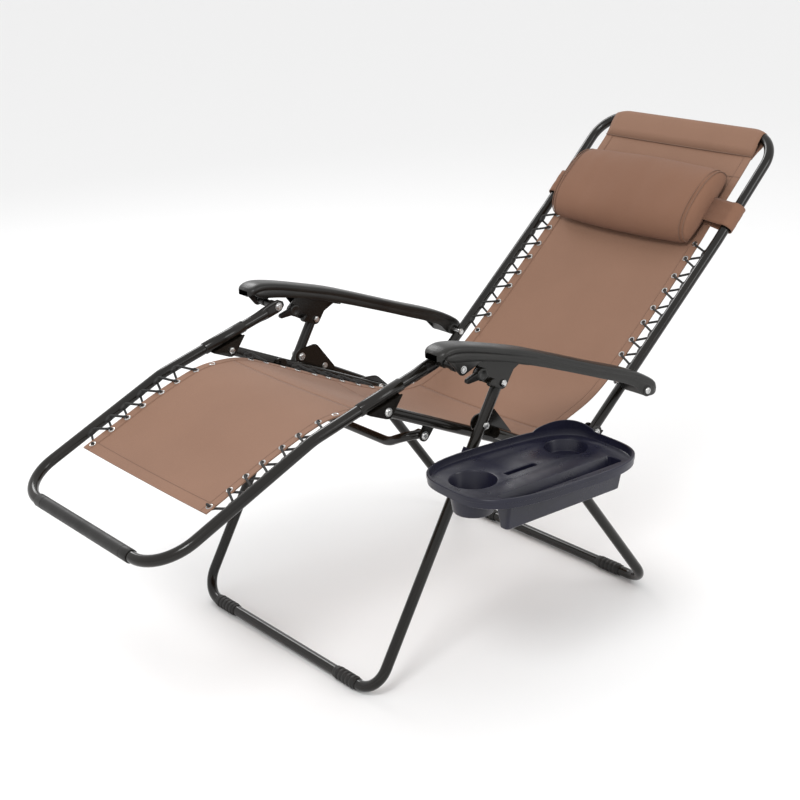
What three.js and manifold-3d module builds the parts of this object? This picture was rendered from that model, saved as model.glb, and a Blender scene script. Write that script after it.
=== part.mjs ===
// Zero gravity recliner: a folding steel-tube lounge chair with a laced sling, head pillow and side tray.
// Millimetres, +Z up. The foot end is towards -Y, the head end towards +Y, and the tray is on the +X side.
import * as THREE from "three";
import { mergeVertices } from "three/addons/utils/BufferGeometryUtils.js";
import Module from "manifold-3d";

const wasm = await Module();
wasm.setup();

// ---- Driving dimensions, in a working frame whose x = 0 is the chair's plane of symmetry and z = 0 the floor.
const tubeR = 11; // every frame tube is 22 mm outside diameter
const tubeSides = 12;
const gap = 0.4; // clearance that touching pieces keep
const frameX = 262; // centre planes of the foot frame, seat rails and back frame
const legX = 303; // centre planes of the front legs, and of the rear legs at their pivots
const rearFootX = 316; // the rear legs spread a little towards the floor

// Side profile, as [y, z].
const floorFront = [-150, tubeR];
const floorRear = [599, tubeR];
const legPivot = [130, 496]; // rear leg pivots on front leg
const legTop = [182, 588.6];
const slidePivot = [173, 573]; // front leg's top pivots in the slide block
const seatPivot = [316, 391]; // seat rail hangs on the rear leg's elbow
const footBar = [-576, 394];
const calfBend = [-239, 548];
const armFront = [55, 632]; // foot frame's top end pivots under the armrest
const kneePivot = [-77, 565];
const backPivot = [426, 337.6];
const armRear = [561, 470];
const headBend = [857, 722.5];
const topBar = [1061, 920];

const boltR = 4;
const headR = 7.5;
const headT = 4;
const plateT = 3;
const footDrop = 2.6; // the ribbed sleeves hold the floor bars just clear of the floor
const slingHalf = 226; // half the sling's width
const slingT = 3;
const cordR = 2.5;
const trayTop = 472;

// ---- Materials
const finish = (color, roughness, metalness) => new THREE.MeshStandardMaterial({ color, roughness, metalness });
const steel = finish(0x1d1b18, 0.35, 0.4);
const plastic = finish(0x1c1c1b, 0.55, 0);
const fabric = finish(0xa07d69, 0.85, 0);
const cordBlack = finish(0x141414, 0.8, 0);
const bright = finish(0xb8b8ba, 0.3, 1);
const trayBlue = finish(0x1c1d31, 0.5, 0);

const part = new THREE.Group();
const chair = new THREE.Group();
part.add(chair);
const sides = [["left", 1], ["right", -1]];

// ---- Geometry helpers
const solidOf = (geometry) => {
  const g = geometry.clone();
  g.deleteAttribute("normal");
  g.deleteAttribute("uv");
  const m = mergeVertices(g, 1e-4);
  const mesh = new wasm.Mesh({
    numProp: 3,
    vertProperties: m.attributes.position.array,
    triVerts: new Uint32Array(m.index.array),
  });
  return new wasm.Manifold(mesh);
};

const geometryOf = (solid) => {
  const mesh = solid.getMesh();
  const g = new THREE.BufferGeometry();
  g.setAttribute("position", new THREE.BufferAttribute(new Float32Array(mesh.vertProperties), 3));
  g.setIndex(new THREE.BufferAttribute(new Uint32Array(mesh.triVerts), 1));
  return g;
};

const join = (...geometries) => geometryOf(geometries.map(solidOf).reduce((a, b) => a.add(b)));
const cut = (geometry, ...tools) =>
  geometryOf(tools.map(solidOf).reduce((a, b) => a.subtract(b), solidOf(geometry)));

const addPiece = (name, geometry, material) => {
  const mesh = new THREE.Mesh(geometry, material);
  mesh.name = name;
  chair.add(mesh);
  return mesh;
};

const add2 = (a, b, k = 1) => [a[0] + b[0] * k, a[1] + b[1] * k];
const unit2 = (a, b) => {
  const d = Math.hypot(b[0] - a[0], b[1] - a[1]);
  return [(b[0] - a[0]) / d, (b[1] - a[1]) / d];
};
const lerp2 = (a, b, t) => [a[0] + (b[0] - a[0]) * t, a[1] + (b[1] - a[1]) * t];
const at = (x, p) => new THREE.Vector3(x, p[0], p[1]);

// A route through explicit vertices, so that a sweep spends its sections only where the tube bends.
class Route extends THREE.Curve {
  constructor(points) {
    super();
    this.points = points;
  }
  getPoint(t, target = new THREE.Vector3()) {
    const n = this.points.length - 1;
    const i = Math.min(Math.floor(t * n + 1e-9), n - 1);
    return target.copy(this.points[i]).lerp(this.points[i + 1], t * n - i);
  }
  getPointAt(t, target) {
    return this.getPoint(t, target);
  }
  getSpacedPoints() {
    return this.points.map((p) => p.clone());
  }
  getTangentAt(t, target = new THREE.Vector3()) {
    const n = this.points.length - 1;
    const i = Math.round(t * n);
    const before = this.points[Math.max(i, 1)].clone().sub(this.points[Math.max(i, 1) - 1]).normalize();
    const j = Math.min(i, n - 1);
    const after = this.points[j + 1].clone().sub(this.points[j]).normalize();
    return target.copy(before).add(after).normalize();
  }
}

// Replaces each inner corner of a polyline with an arc: corners are { p: Vector3, r: radius, n: arc steps }.
const rounded = (corners) => {
  const out = [corners[0].p.clone()];
  for (let i = 1; i < corners.length - 1; i++) {
    const { p, r = 0, n = 4 } = corners[i];
    const a = corners[i - 1].p.clone().sub(p).normalize();
    const b = corners[i + 1].p.clone().sub(p).normalize();
    const half = Math.acos(THREE.MathUtils.clamp(a.dot(b), -1, 1)) / 2;
    if (!r || half > Math.PI / 2 - 0.01) {
      out.push(p.clone());
      continue;
    }
    const reach = r / Math.tan(half);
    const centre = p.clone().add(a.clone().add(b).normalize().multiplyScalar(r / Math.sin(half)));
    const from = p.clone().addScaledVector(a, reach).sub(centre);
    const to = p.clone().addScaledVector(b, reach).sub(centre);
    const sweep = from.angleTo(to);
    for (let k = 0; k <= n; k++) {
      const t = k / n;
      const w0 = Math.sin((1 - t) * sweep) / Math.sin(sweep);
      const w1 = Math.sin(t * sweep) / Math.sin(sweep);
      out.push(centre.clone().addScaledVector(from, w0).addScaledVector(to, w1));
    }
  }
  out.push(corners[corners.length - 1].p.clone());
  return out;
};

const circle = (r, n) => {
  const s = new THREE.Shape();
  for (let i = 0; i < n; i++) {
    const a = ((i + 0.5) / n) * 2 * Math.PI;
    if (i === 0) s.moveTo(r * Math.cos(a), r * Math.sin(a));
    else s.lineTo(r * Math.cos(a), r * Math.sin(a));
  }
  s.closePath();
  return s;
};

const sweep = (shape, points) =>
  new THREE.ExtrudeGeometry(shape, {
    extrudePath: new Route(points),
    steps: points.length - 1,
    bevelEnabled: false,
  });
const tube = (corners, r = tubeR, n = tubeSides) => sweep(circle(r, n), rounded(corners));

// A cylinder about an axis along X, between two x values.
const xRod = (x0, x1, p, r, n = 16) => {
  const g = new THREE.CylinderGeometry(r, r, Math.abs(x1 - x0), n);
  g.rotateZ(Math.PI / 2);
  g.translate((x0 + x1) / 2, p[0], p[1]);
  return g;
};

// A flat plate whose outline is drawn in the side view, as [y, z] points or a Shape, between two x values.
const sidePlate = (x0, x1, outline) => {
  const s = outline instanceof THREE.Shape ? outline : new THREE.Shape(outline.map((p) => new THREE.Vector2(...p)));
  const g = new THREE.ExtrudeGeometry(s, { depth: Math.abs(x1 - x0), bevelEnabled: false, curveSegments: 8 });
  // Shape x becomes +Y, shape y becomes +Z and the extrusion becomes +X.
  g.applyMatrix4(new THREE.Matrix4().set(0, 0, 1, Math.min(x0, x1), 1, 0, 0, 0, 0, 1, 0, 0, 0, 0, 0, 1));
  return g;
};

// The outline of a link: the hull of circles, each { p: [y, z], r }, in the side view.
const hull = (circles, steps = 16) => {
  const pts = circles.flatMap(({ p, r }) =>
    Array.from({ length: steps }, (_, i) => {
      const a = (i / steps) * 2 * Math.PI;
      return [p[0] + r * Math.cos(a), p[1] + r * Math.sin(a)];
    }),
  );
  pts.sort((a, b) => a[0] - b[0] || a[1] - b[1]);
  const turn = (o, a, b) => (a[0] - o[0]) * (b[1] - o[1]) - (a[1] - o[1]) * (b[0] - o[0]);
  const chain = (list) => {
    const h = [];
    for (const p of list) {
      while (h.length > 1 && turn(h[h.length - 2], h[h.length - 1], p) <= 1e-6) h.pop();
      h.push(p);
    }
    h.pop();
    return h;
  };
  return [...chain(pts), ...chain([...pts].reverse())];
};

// A bolt along X with a domed head at x0 and a nut at x1.
const bolt = (x0, x1, p, r = boltR) => {
  const dir = Math.sign(x1 - x0);
  return join(
    xRod(x0, x1, p, r, 12),
    xRod(x0 - dir * headT, x0 + dir * 0.01, p, headR, 12),
    xRod(x1 - dir * 0.01, x1 + dir * headT, p, headR - 0.6, 6),
  );
};
const hole = (x0, x1, p, r = boltR + gap) => xRod(x0, x1, p, r, 12);

// ---- Front legs: a U of tube whose bar lies on the floor; its two tops carry the armrest slides.
const legDir = unit2(floorFront, slidePivot);
const legSideways = [-legDir[1], legDir[0]];
const frontLegs = tube([
  { p: at(-legX, legTop) },
  { p: at(-legX, floorFront), r: 55, n: 6 },
  { p: at(legX, floorFront), r: 55, n: 6 },
  { p: at(legX, legTop) },
]);
const legHoles = sides.flatMap(([, s]) =>
  [legPivot, slidePivot].map((p) => hole(s * (legX - 20), s * (legX + 20), p)),
);
addPiece("front_leg_tube", cut(frontLegs, ...legHoles), steel);

// ---- Rear legs: a wider U, bent at an elbow; brackets on its upper ends pivot on the front legs.
const rearTop = lerp2(legPivot, seatPivot, 0.2);
const rearTopOffset = 6;
const rearUpper = unit2(legPivot, seatPivot);
const rearStart = add2(rearTop, [-rearUpper[1], rearUpper[0]], -rearTopOffset);
const rearLegs = tube([
  { p: at(-legX - 2, rearStart) },
  { p: at(-legX - 2, seatPivot), r: 60, n: 3 },
  { p: at(-rearFootX, floorRear), r: 55, n: 6 },
  { p: at(rearFootX, floorRear), r: 55, n: 6 },
  { p: at(legX + 2, seatPivot), r: 60, n: 3 },
  { p: at(legX + 2, rearStart) },
]);
const elbowHoles = sides.map(([, s]) => hole(s * (legX - 22), s * (legX + 24), seatPivot));
addPiece("rear_leg_tube", cut(rearLegs, ...elbowHoles), steel);

const bracketOutline = hull([
  { p: legPivot, r: 17 },
  { p: add2(legPivot, [34, 6]), r: 15 },
  { p: lerp2(legPivot, seatPivot, 0.42), r: 10 },
]);
for (const [side, s] of sides) {
  const x0 = s * (legX - tubeR - gap - plateT);
  const plate = sidePlate(x0, x0 + s * plateT, bracketOutline);
  addPiece("rear_leg_bracket_" + side, cut(plate, hole(x0 - 5, x0 + 10, legPivot)), steel);
  addPiece("leg_pivot_bolt_" + side, bolt(x0 - s * gap, s * (legX + tubeR + gap), legPivot), bright);
}

// ---- Ribbed sleeves on the floor bars, each with a flat foot that stands on the floor.
const sleeveHalf = 35;
const floorSleeve = (x, p) => {
  const parts = [xRod(x - sleeveHalf, x + sleeveHalf, p, tubeR + 1.6, 12)];
  for (const dx of [-20, 0, 20]) parts.push(xRod(x + dx - 5, x + dx + 5, p, tubeR + 2.6, 12));
  const foot = new THREE.BoxGeometry(2 * sleeveHalf - 4, 14, 6);
  foot.translate(x, p[0], 3 - footDrop);
  const belowFloor = new THREE.BoxGeometry(4 * sleeveHalf, 60, 20);
  belowFloor.translate(x, p[0], -10 - footDrop);
  return cut(join(...parts, foot), xRod(x - 60, x + 60, p, tubeR + gap, 12), belowFloor);
};
const frontSleeveX = 212;
const rearSleeveX = 205;
for (const [side, s] of sides) {
  addPiece("front_foot_sleeve_" + side, floorSleeve(s * frontSleeveX, floorFront), plastic);
  addPiece("rear_foot_sleeve_" + side, floorSleeve(s * rearSleeveX, floorRear), plastic);
}

// ---- Foot frame: a U whose bar is at the feet; its arms bend at the calf and run on to the armrests.
const kneeDir = unit2(calfBend, armFront);
const armEnd = add2(armFront, kneeDir, -34);
const footFrame = tube([
  { p: at(-frameX, armEnd) },
  { p: at(-frameX, calfBend), r: 160, n: 3 },
  { p: at(-frameX, footBar), r: 85, n: 7 },
  { p: at(frameX, footBar), r: 85, n: 7 },
  { p: at(frameX, calfBend), r: 160, n: 3 },
  { p: at(frameX, armEnd) },
]);
// The arms' ends are pressed flat into spades that carry the armrest pivot.
const spade = (s) =>
  sidePlate(s * (frameX - 4), s * (frameX + 4), hull([
    { p: armFront, r: 14 },
    { p: add2(armFront, kneeDir, -30), r: 14 },
    { p: add2(armFront, kneeDir, -62), r: tubeR - 1 },
  ]));
const spadeHoles = sides.map(([, s]) => hole(s * (frameX - 8), s * (frameX + 8), armFront));
addPiece("foot_frame_tube", cut(join(footFrame, spade(1), spade(-1)), ...spadeHoles), steel);

const footSleeveHalf = 172;
const footSleeve = cut(
  xRod(-footSleeveHalf, footSleeveHalf, footBar, tubeR + 2.2, 20),
  xRod(-footSleeveHalf - 5, footSleeveHalf + 5, footBar, tubeR + gap, 20),
);
addPiece("foot_bar_sleeve", footSleeve, plastic);

// Knee gussets: a saddle on each arm with two cheeks that hold the seat rail's front end.
const kneeFoot = add2(calfBend, kneeDir, (kneePivot[0] - calfBend[0]) * kneeDir[0] + (kneePivot[1] - calfBend[1]) * kneeDir[1]);
const kneeUp = unit2(kneePivot, kneeFoot);
const webR = 1.25;
const saddleBase = add2(kneeFoot, kneeUp, -(tubeR + gap + webR));
const kneeGusset = (s) => {
  const outline = hull([
    { p: kneePivot, r: 14 },
    { p: add2(saddleBase, kneeDir, -40), r: webR },
    { p: add2(saddleBase, kneeDir, 40), r: webR },
  ]);
  const inner = s * (frameX - tubeR - gap - plateT);
  const outer = s * (frameX + tubeR + gap);
  const web = hull([
    { p: add2(saddleBase, kneeDir, -40), r: webR },
    { p: add2(saddleBase, kneeDir, 38), r: webR },
  ]);
  const cheeks = [sidePlate(inner, inner + s * plateT, outline), sidePlate(outer, outer + s * plateT, outline)];
  const holes = hole(s * (frameX - 25), s * (frameX + 25), kneePivot);
  return cut(join(...cheeks, sidePlate(inner, outer + s * plateT, web)), holes);
};

// ---- Seat rails: straight tubes from the knee gussets to the back frame's foot.
const railDir = unit2(kneePivot, backPivot);
const railUp = [-railDir[1], railDir[0]];
const onRail = (d, up = 0) => add2(add2(kneePivot, railDir, d), railUp, up);
const railLength = Math.hypot(backPivot[0] - kneePivot[0], backPivot[1] - kneePivot[1]);
const crossAt = 131; // distance along the rail to the cross bar's brackets
const crossDrop = -30;
const seatCross = onRail(crossAt, crossDrop);
for (const [side, s] of sides) {
  addPiece("knee_gusset_" + side, kneeGusset(s), steel);
  const rail = tube([{ p: at(s * frameX, onRail(-8)) }, { p: at(s * frameX, onRail(railLength + 9)) }]);
  const holes = [kneePivot, seatPivot, backPivot, onRail(crossAt)].map((p) =>
    hole(s * (frameX - 20), s * (frameX + 20), p),
  );
  addPiece("seat_rail_" + side, cut(rail, ...holes), steel);
  const kneeIn = s * (frameX - tubeR - 2 * gap - plateT);
  const kneeOut = s * (frameX + tubeR + 2 * gap + plateT);
  addPiece("knee_bolt_" + side, bolt(kneeOut, kneeIn, kneePivot), bright);
  // Hanger: a washer plate with a spacer keeps the rail clear of the rear leg's elbow.
  const hangIn = s * (frameX + tubeR + gap);
  const hanger = sidePlate(hangIn, hangIn + s * plateT, hull([
    { p: seatPivot, r: 21 },
    { p: add2(seatPivot, railDir, 36), r: 9 },
    { p: add2(seatPivot, railDir, -36), r: 9 },
  ]));
  const spacer = xRod(hangIn, s * (legX + 2 - tubeR - gap), seatPivot, 8, 16);
  const pivotHole = hole(s * (frameX + 5), s * legX, seatPivot);
  addPiece("seat_hanger_" + side, cut(join(hanger, spacer), pivotHole), steel);
  const pivotIn = s * (frameX - tubeR - gap);
  addPiece("seat_pivot_bolt_" + side, bolt(s * (legX + 2 + tubeR + gap), pivotIn, seatPivot), bright);
}

// Cross bar: carried by a bracket under each rail, bowed forward and down behind the sitter's knees.
const crossBracket = (s) => {
  const x = s * (frameX - tubeR - gap);
  const outline = hull([
    { p: onRail(crossAt), r: 10 },
    { p: add2(onRail(crossAt), railDir, 10), r: 10 },
    { p: seatCross, r: 12 },
  ]);
  const cuts = [hole(x - 10, x + 10, onRail(crossAt)), hole(x - 10, x + 10, seatCross)];
  return cut(sidePlate(x - s * plateT, x, outline), ...cuts);
};
const crossX = frameX - tubeR - gap - plateT - gap;
const crossTube = () => {
  const arm = (s) => [
    { p: at(s * (crossX - 9), seatCross) },
    { p: at(s * (crossX - 9), add2(seatCross, [-36, 5])), r: 28, n: 4 },
    { p: at(s * (crossX - 60), add2(seatCross, [-38, -20])), r: 60, n: 2 },
  ];
  return tube([...arm(-1), ...arm(1).reverse()], 9, 10);
};
const crossPads = sides.map(([, s]) => xRod(s * (crossX - 18), s * crossX, seatCross, 9, 12));
const crossHoles = sides.map(([, s]) => hole(s * (crossX - 40), s * (crossX + 5), seatCross));
addPiece("seat_cross_bar", cut(join(crossTube(), ...crossPads), ...crossHoles), steel);
for (const [side, s] of sides) {
  addPiece("cross_bar_bracket_" + side, crossBracket(s), steel);
  const outer = s * (frameX - tubeR - gap + gap);
  addPiece("cross_bar_bolt_" + side, bolt(outer, s * (crossX - 18 - gap), seatCross), bright);
}

// ---- Back frame: an arch of tube, leaning back further at the head; clevis plates join it to the seat rails.
const backDir = unit2(backPivot, headBend);
const backUp = [-backDir[1], backDir[0]];
const onBack = (d, up = 0) => add2(add2(backPivot, backDir, d), backUp, up);
const headDir = unit2(headBend, topBar);
const backStart = 50;
const backFrame = tube([
  { p: at(-frameX, onBack(backStart)) },
  { p: at(-frameX, headBend), r: 160, n: 2 },
  { p: at(-frameX, topBar), r: 75, n: 7 },
  { p: at(frameX, topBar), r: 75, n: 7 },
  { p: at(frameX, headBend), r: 160, n: 2 },
  { p: at(frameX, onBack(backStart)) },
]);
const backHoles = sides.map(([, s]) => hole(s * (frameX - 20), s * (frameX + 20), armRear));
addPiece("back_frame_tube", cut(backFrame, ...backHoles), steel);
const clevisOutline = hull([
  { p: backPivot, r: 13 },
  { p: onBack(backStart + 18), r: 14 },
]);
const clevisWeb = hull([
  { p: onBack(30, -tubeR - gap - 1.5), r: 1.5 },
  { p: onBack(backStart + 30, -tubeR - gap - 1.5), r: 1.5 },
]);
for (const [side, s] of sides) {
  const inner = s * (frameX - tubeR - gap - plateT);
  const outer = s * (frameX + tubeR + gap);
  const plates = [inner, outer].map((x) => sidePlate(x, x + s * plateT, clevisOutline));
  const web = sidePlate(inner, outer + s * plateT, clevisWeb);
  addPiece("back_clevis_" + side, cut(join(...plates, web), hole(inner - s * 9, outer + s * 9, backPivot)), steel);
  addPiece("back_pivot_bolt_" + side, bolt(outer + s * (plateT + gap), inner - s * gap, backPivot), bright);
}

// ---- Armrests: moulded channels, open underneath, that follow a gentle arc along the linkage.
const armHalf = 28;
const armX = legX + 7;
const armSkin = 3.2;
const armTop = [ // top edge, front to rear
  [-8, 679], [2, 690], [72, 681], [147, 664.5], [225, 641.5], [306, 613], [418, 567.5], [520, 523], [575, 494], [597, 474],
];
const armDepth = 36;
const armUnder = [
  [590, 458], [574, 456], [538, 481], [419, 530], [306, 573], [225, 602], [147, 626.5], [72, 643], [22, 651], [0, 660],
];
const armInner = [
  [14, 672], [72, 672], [147, 656], [225, 633], [306, 604.5], [418, 559.5], [520, 515], [560, 494],
  [560, 440], [300, 500], [14, 560],
];
const earShape = hull([
  { p: armFront, r: 12 },
  { p: [24, 655], r: 6 },
  { p: [104, 641], r: 6 },
]);
// The inner wall is notched so that the foot frame's pivot passes through it with room to swing.
const armNotch = hull([
  { p: add2(armFront, [-19, -8]), r: 12 },
  { p: add2(armFront, [12, 8]), r: 12 },
  { p: add2(armFront, [-19, -40]), r: 12 },
  { p: add2(armFront, [12, -40]), r: 12 },
]);
const armrest = (s) => {
  const inner = s * (armX - armHalf);
  const outer = s * (armX + armHalf);
  const shell = sidePlate(inner, outer, [...armTop, ...armUnder]);
  const hollow = sidePlate(inner + s * armSkin, outer - s * armSkin, armInner);
  const ear = sidePlate(outer - s * armSkin, outer, earShape);
  const boss = xRod(s * (frameX + tubeR + gap), outer, armRear, 12, 16);
  const notch = sidePlate(inner - s * 5, inner + s * (armSkin + 1), armNotch);
  const holes = [hole(s * frameX, outer + s * 8, armRear), hole(outer - s * 10, outer + s * 8, armFront, 3 + gap)];
  return cut(join(cut(shell, hollow), ear, boss), ...holes, notch);
};
for (const [side, s] of sides) {
  addPiece("armrest_" + side, armrest(s), plastic);
  const outerFace = s * (armX + armHalf + gap);
  addPiece("armrest_rear_bolt_" + side, bolt(outerFace, s * (frameX - tubeR - gap), armRear), bright);
  // Stub bolt and stepped spacer on the foot frame's spade, reaching in under the armrest.
  const stubEnd = s * (armX + armHalf - armSkin - 3);
  addPiece("armrest_front_bolt_" + side, bolt(s * (frameX - 4 - gap), stubEnd - s * headT, armFront), bright);
  const spacerIn = frameX + 4 + gap;
  const spacerOut = Math.abs(stubEnd) - headT - gap;
  const collars = [0.25, 0.75].map((t) => {
    const x = spacerIn + (spacerOut - spacerIn) * t;
    return xRod(s * (x - 6), s * (x + 6), armFront, 9, 12);
  });
  const spacer = join(xRod(s * spacerIn, s * spacerOut, armFront, 7, 12), ...collars);
  const bore = hole(s * (spacerIn - 5), s * (spacerOut + 5), armFront);
  addPiece("armrest_front_spacer_" + side, cut(spacer, bore), plastic);
}

// ---- Armrest slides: a plated block pivots on each front leg's top and runs inside the armrest's channel.
// Both blocks have their wide plate on the -X side and their lock on the +X side.
const slideDir = unit2(armFront, armRear);
const slideUp = [-slideDir[1], slideDir[0]];
const onSlide = (d, up) => add2(add2(slidePivot, slideDir, d), slideUp, up);
const lockAxis = [109, 608];
const widePlate = hull([
  { p: slidePivot, r: 13 },
  { p: onSlide(55, -9), r: 12 },
  { p: onSlide(-78, 46), r: 6 },
  { p: onSlide(54, 46), r: 6 },
]);
const lockPlate = hull([
  { p: slidePivot, r: 12 },
  { p: lockAxis, r: 12 },
  { p: onSlide(-60, 46), r: 5 },
  { p: onSlide(20, 46), r: 5 },
]);
const runner = [onSlide(-84, 40), onSlide(60, 40), onSlide(60, 54), onSlide(-84, 54)];
const lockLump = [140, 583];
for (const [side, s] of sides) {
  const x = s * legX;
  const low = x - tubeR - gap - plateT;
  const high = x + tubeR + gap + plateT;
  const block = join(
    sidePlate(low, low + plateT, widePlate),
    sidePlate(high - plateT, high, lockPlate),
    sidePlate(low, high, runner),
    xRod(high - 0.5, high + 9, lockLump, 8, 12),
  );
  const holes = [hole(low - 5, high + 5, slidePivot), hole(high - 6, high + 5, lockAxis)];
  addPiece("slide_block_" + side, cut(block, ...holes), steel);
  addPiece("slide_bolt_" + side, bolt(low - gap, high + gap, slidePivot), bright);
  const drum = xRod(high + gap, high + 15, lockAxis, 13, 16);
  const grip = sidePlate(high + 4, high + 13, hull([
    { p: lockAxis, r: 9 },
    { p: add2(lockAxis, [-34, -6]), r: 5 },
  ]));
  const pin = xRod(high - plateT - gap, high + 1, lockAxis, boltR, 12);
  addPiece("lock_lever_" + side, join(drum, grip, pin), plastic);
}

// ---- Slings: three lengths of fabric. Each is a bent strip in the side view.
const strip = (points, t = slingT) => {
  const n = points.length;
  const normals = points.map((p, i) => {
    const d = unit2(points[Math.max(i - 1, 0)], points[Math.min(i + 1, n - 1)]);
    return [-d[1], d[0]];
  });
  const above = points.map((p, i) => add2(p, normals[i], t / 2));
  const below = points.map((p, i) => add2(p, normals[i], -t / 2));
  return [...below, ...above.reverse()];
};
const calfDir = unit2(footBar, calfBend);
const calfLength = Math.hypot(calfBend[0] - footBar[0], calfBend[1] - footBar[1]);
// A point beside the foot frame's arm, by distance from the foot bar along the arm.
const onCalf = (d, up = 0) => {
  const dir = d < calfLength ? calfDir : kneeDir;
  const from = d < calfLength ? add2(footBar, calfDir, d) : add2(calfBend, kneeDir, d - calfLength);
  return add2(from, [-dir[1], dir[0]], up);
};
const calfStrip = [onCalf(144, 1), onCalf(300, -3), onCalf(calfLength, 3), onCalf(calfLength + 135, 1)];
addPiece("sling_calf", sidePlate(-slingHalf, slingHalf, strip(calfStrip)), fabric);
const seatStrip = [onRail(46, 14), onRail(110, 5), onRail(240, 0), onRail(400, 2), onRail(476, 22)];
addPiece("sling_seat", sidePlate(-slingHalf, slingHalf, strip(seatStrip)), fabric);
const headLength = Math.hypot(topBar[0] - headBend[0], topBar[1] - headBend[1]);
const headUp = [-headDir[1], headDir[0]];
const onHead = (d, up = 0) => add2(add2(headBend, headDir, d), headUp, up);
const backStrip = [
  onBack(76, 22), onBack(170, 4), onBack(400, 0), onHead(0, 1), onHead(headLength - 60, 0), onHead(headLength - 26, 0),
];
const pocketHalf = 184; // the pocket fills the straight of the top bar
const pocket = join(
  sidePlate(-slingHalf + 6, slingHalf - 6, strip(backStrip)),
  sidePlate(-pocketHalf, pocketHalf, strip([onHead(headLength - 62, 0), onHead(headLength - 10, 0)], 8)),
  xRod(-pocketHalf, pocketHalf, topBar, tubeR + gap + slingT, 20),
);
addPiece("sling_back", cut(pocket, xRod(-230, 230, topBar, tubeR + gap, 16)), fabric);

// ---- Lacing: a cord that zigzags from the sling's eyelets to a cleat line along the tube's inner side.
const laceX = frameX - tubeR - cordR - 1.2;
const lacing = (s, onTube, first, pitch, turns) => {
  const turnX = slingHalf + cordR + 2.5;
  const points = [];
  for (let i = 0; i < turns; i++) {
    const d = first + i * pitch;
    points.push(at(s * turnX, onTube(d + 2.5, 2.3)));
    points.push(at(s * laceX, onTube(d + pitch * 0.38, 3.6)));
    points.push(at(s * laceX, onTube(d + pitch * 0.62, -3.6)));
    points.push(at(s * turnX, onTube(d + pitch - 2.5, -2.3)));
  }
  return sweep(circle(cordR, 5), points);
};
for (const [side, s] of sides) {
  addPiece("lacing_calf_" + side, lacing(s, onCalf, 165, 43, 4), cordBlack);
  addPiece("lacing_seat_" + side, lacing(s, onRail, 162, 42, 5), cordBlack);
  addPiece("lacing_back_" + side, lacing(s, onBack, 212, 44.5, 7), cordBlack);
}

// ---- Head pillow: a stuffed bolster across the sling, held by a band round each side tube.
const pillowHalf = 222;
const pillowAt = 64; // centre, by distance above the head bend
const pillowLift = 7;
const pillowPoints = [];
for (let i = 0; i <= 12; i++) {
  const a = (i / 12) * Math.PI;
  const d = pillowAt + 100 * Math.cos(a);
  pillowPoints.push(onHead(d, pillowLift + 8 + 56 * Math.sin(a) ** 0.8));
}
pillowPoints.push(onHead(pillowAt - 92, pillowLift), onHead(pillowAt + 92, pillowLift));
addPiece("head_pillow", sidePlate(-pillowHalf, pillowHalf, pillowPoints), fabric);
const strapHalf = 14;
for (const [side, s] of sides) {
  const centre = at(s * frameX, onHead(pillowAt));
  const along = at(0, headDir).multiplyScalar(strapHalf);
  const rod = (r, k, n) => sweep(circle(r, n), [
    centre.clone().addScaledVector(along, -k),
    centre.clone().addScaledVector(along, k),
  ]);
  const tab = sidePlate(s * (pillowHalf + gap), s * (frameX - 12), [
    onHead(pillowAt - strapHalf, pillowLift + 6), onHead(pillowAt + strapHalf, pillowLift + 6),
    onHead(pillowAt + strapHalf, pillowLift + 8.2), onHead(pillowAt - strapHalf, pillowLift + 8.2),
  ]);
  addPiece("pillow_strap_" + side, cut(join(rod(20, 1, 16), tab), rod(18, 1.5, 16)), fabric);
}

// ---- Side tray: a moulded table with a cup well, bottle well, phone slot and book slot, clipped to the left leg.
const trayCentre = [467, 106];
const trayHalf = [125, 198];
const trayTurn = THREE.MathUtils.degToRad(3.5);
const trayPoint = (w, u) => [
  trayCentre[0] + w * Math.cos(trayTurn) + u * Math.sin(trayTurn),
  trayCentre[1] - w * Math.sin(trayTurn) + u * Math.cos(trayTurn),
];
const trayOutline = (inset, n = 36) => {
  const pts = [];
  for (let i = 0; i < n; i++) {
    const a = (i / n) * 2 * Math.PI;
    const c = Math.cos(a);
    const q = Math.sin(a);
    const w = Math.sign(c) * Math.abs(c) ** 0.6 * (trayHalf[0] - inset);
    const u = Math.sign(q) * Math.abs(q) ** 0.6 * (trayHalf[1] - inset);
    pts.push(new THREE.Vector2(...trayPoint(w, u)));
  }
  return new THREE.Shape(pts);
};
const slab = (shape, z0, z1) => {
  const g = new THREE.ExtrudeGeometry(shape, { depth: z1 - z0, bevelEnabled: false });
  g.translate(0, 0, z0);
  return g;
};
const well = (p, r0, r1, z0, z1, n = 24) => {
  const g = new THREE.CylinderGeometry(r1, r0, z1 - z0, n);
  g.rotateX(Math.PI / 2);
  g.translate(p[0], p[1], (z0 + z1) / 2);
  return g;
};
// A trough along the tray's length: width half0 at the bottom and half1 at the top.
const trough = (x, y0, y1, half0, half1, z0, z1) => {
  const s = new THREE.Shape([[x - half0, z0], [x + half0, z0], [x + half1, z1], [x - half1, z1]].map((p) => new THREE.Vector2(...p)));
  const g = new THREE.ExtrudeGeometry(s, { depth: y1 - y0, bevelEnabled: false });
  // Shape y becomes +Z and the extrusion becomes -Y.
  g.rotateX(Math.PI / 2);
  g.translate(0, y1, 0);
  return g;
};
const cupAt = [432, -8];
const bottleAt = [430, 232];
const bookX = 535;
const phoneX = 452;
const trayFloor = trayTop - 14;
const trayBody = join(
  slab(trayOutline(0), trayTop - 20, trayTop),
  well(cupAt, 38, 48, trayTop - 62, trayTop - 15),
  well(bottleAt, 40, 45, trayTop - 40, trayTop - 15),
  trough(bookX, -32, 262, 8, 21, trayTop - 82, trayTop - 15),
  trough(phoneX, 50, 132, 9, 10, trayTop - 40, trayTop - 15),
);
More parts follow.
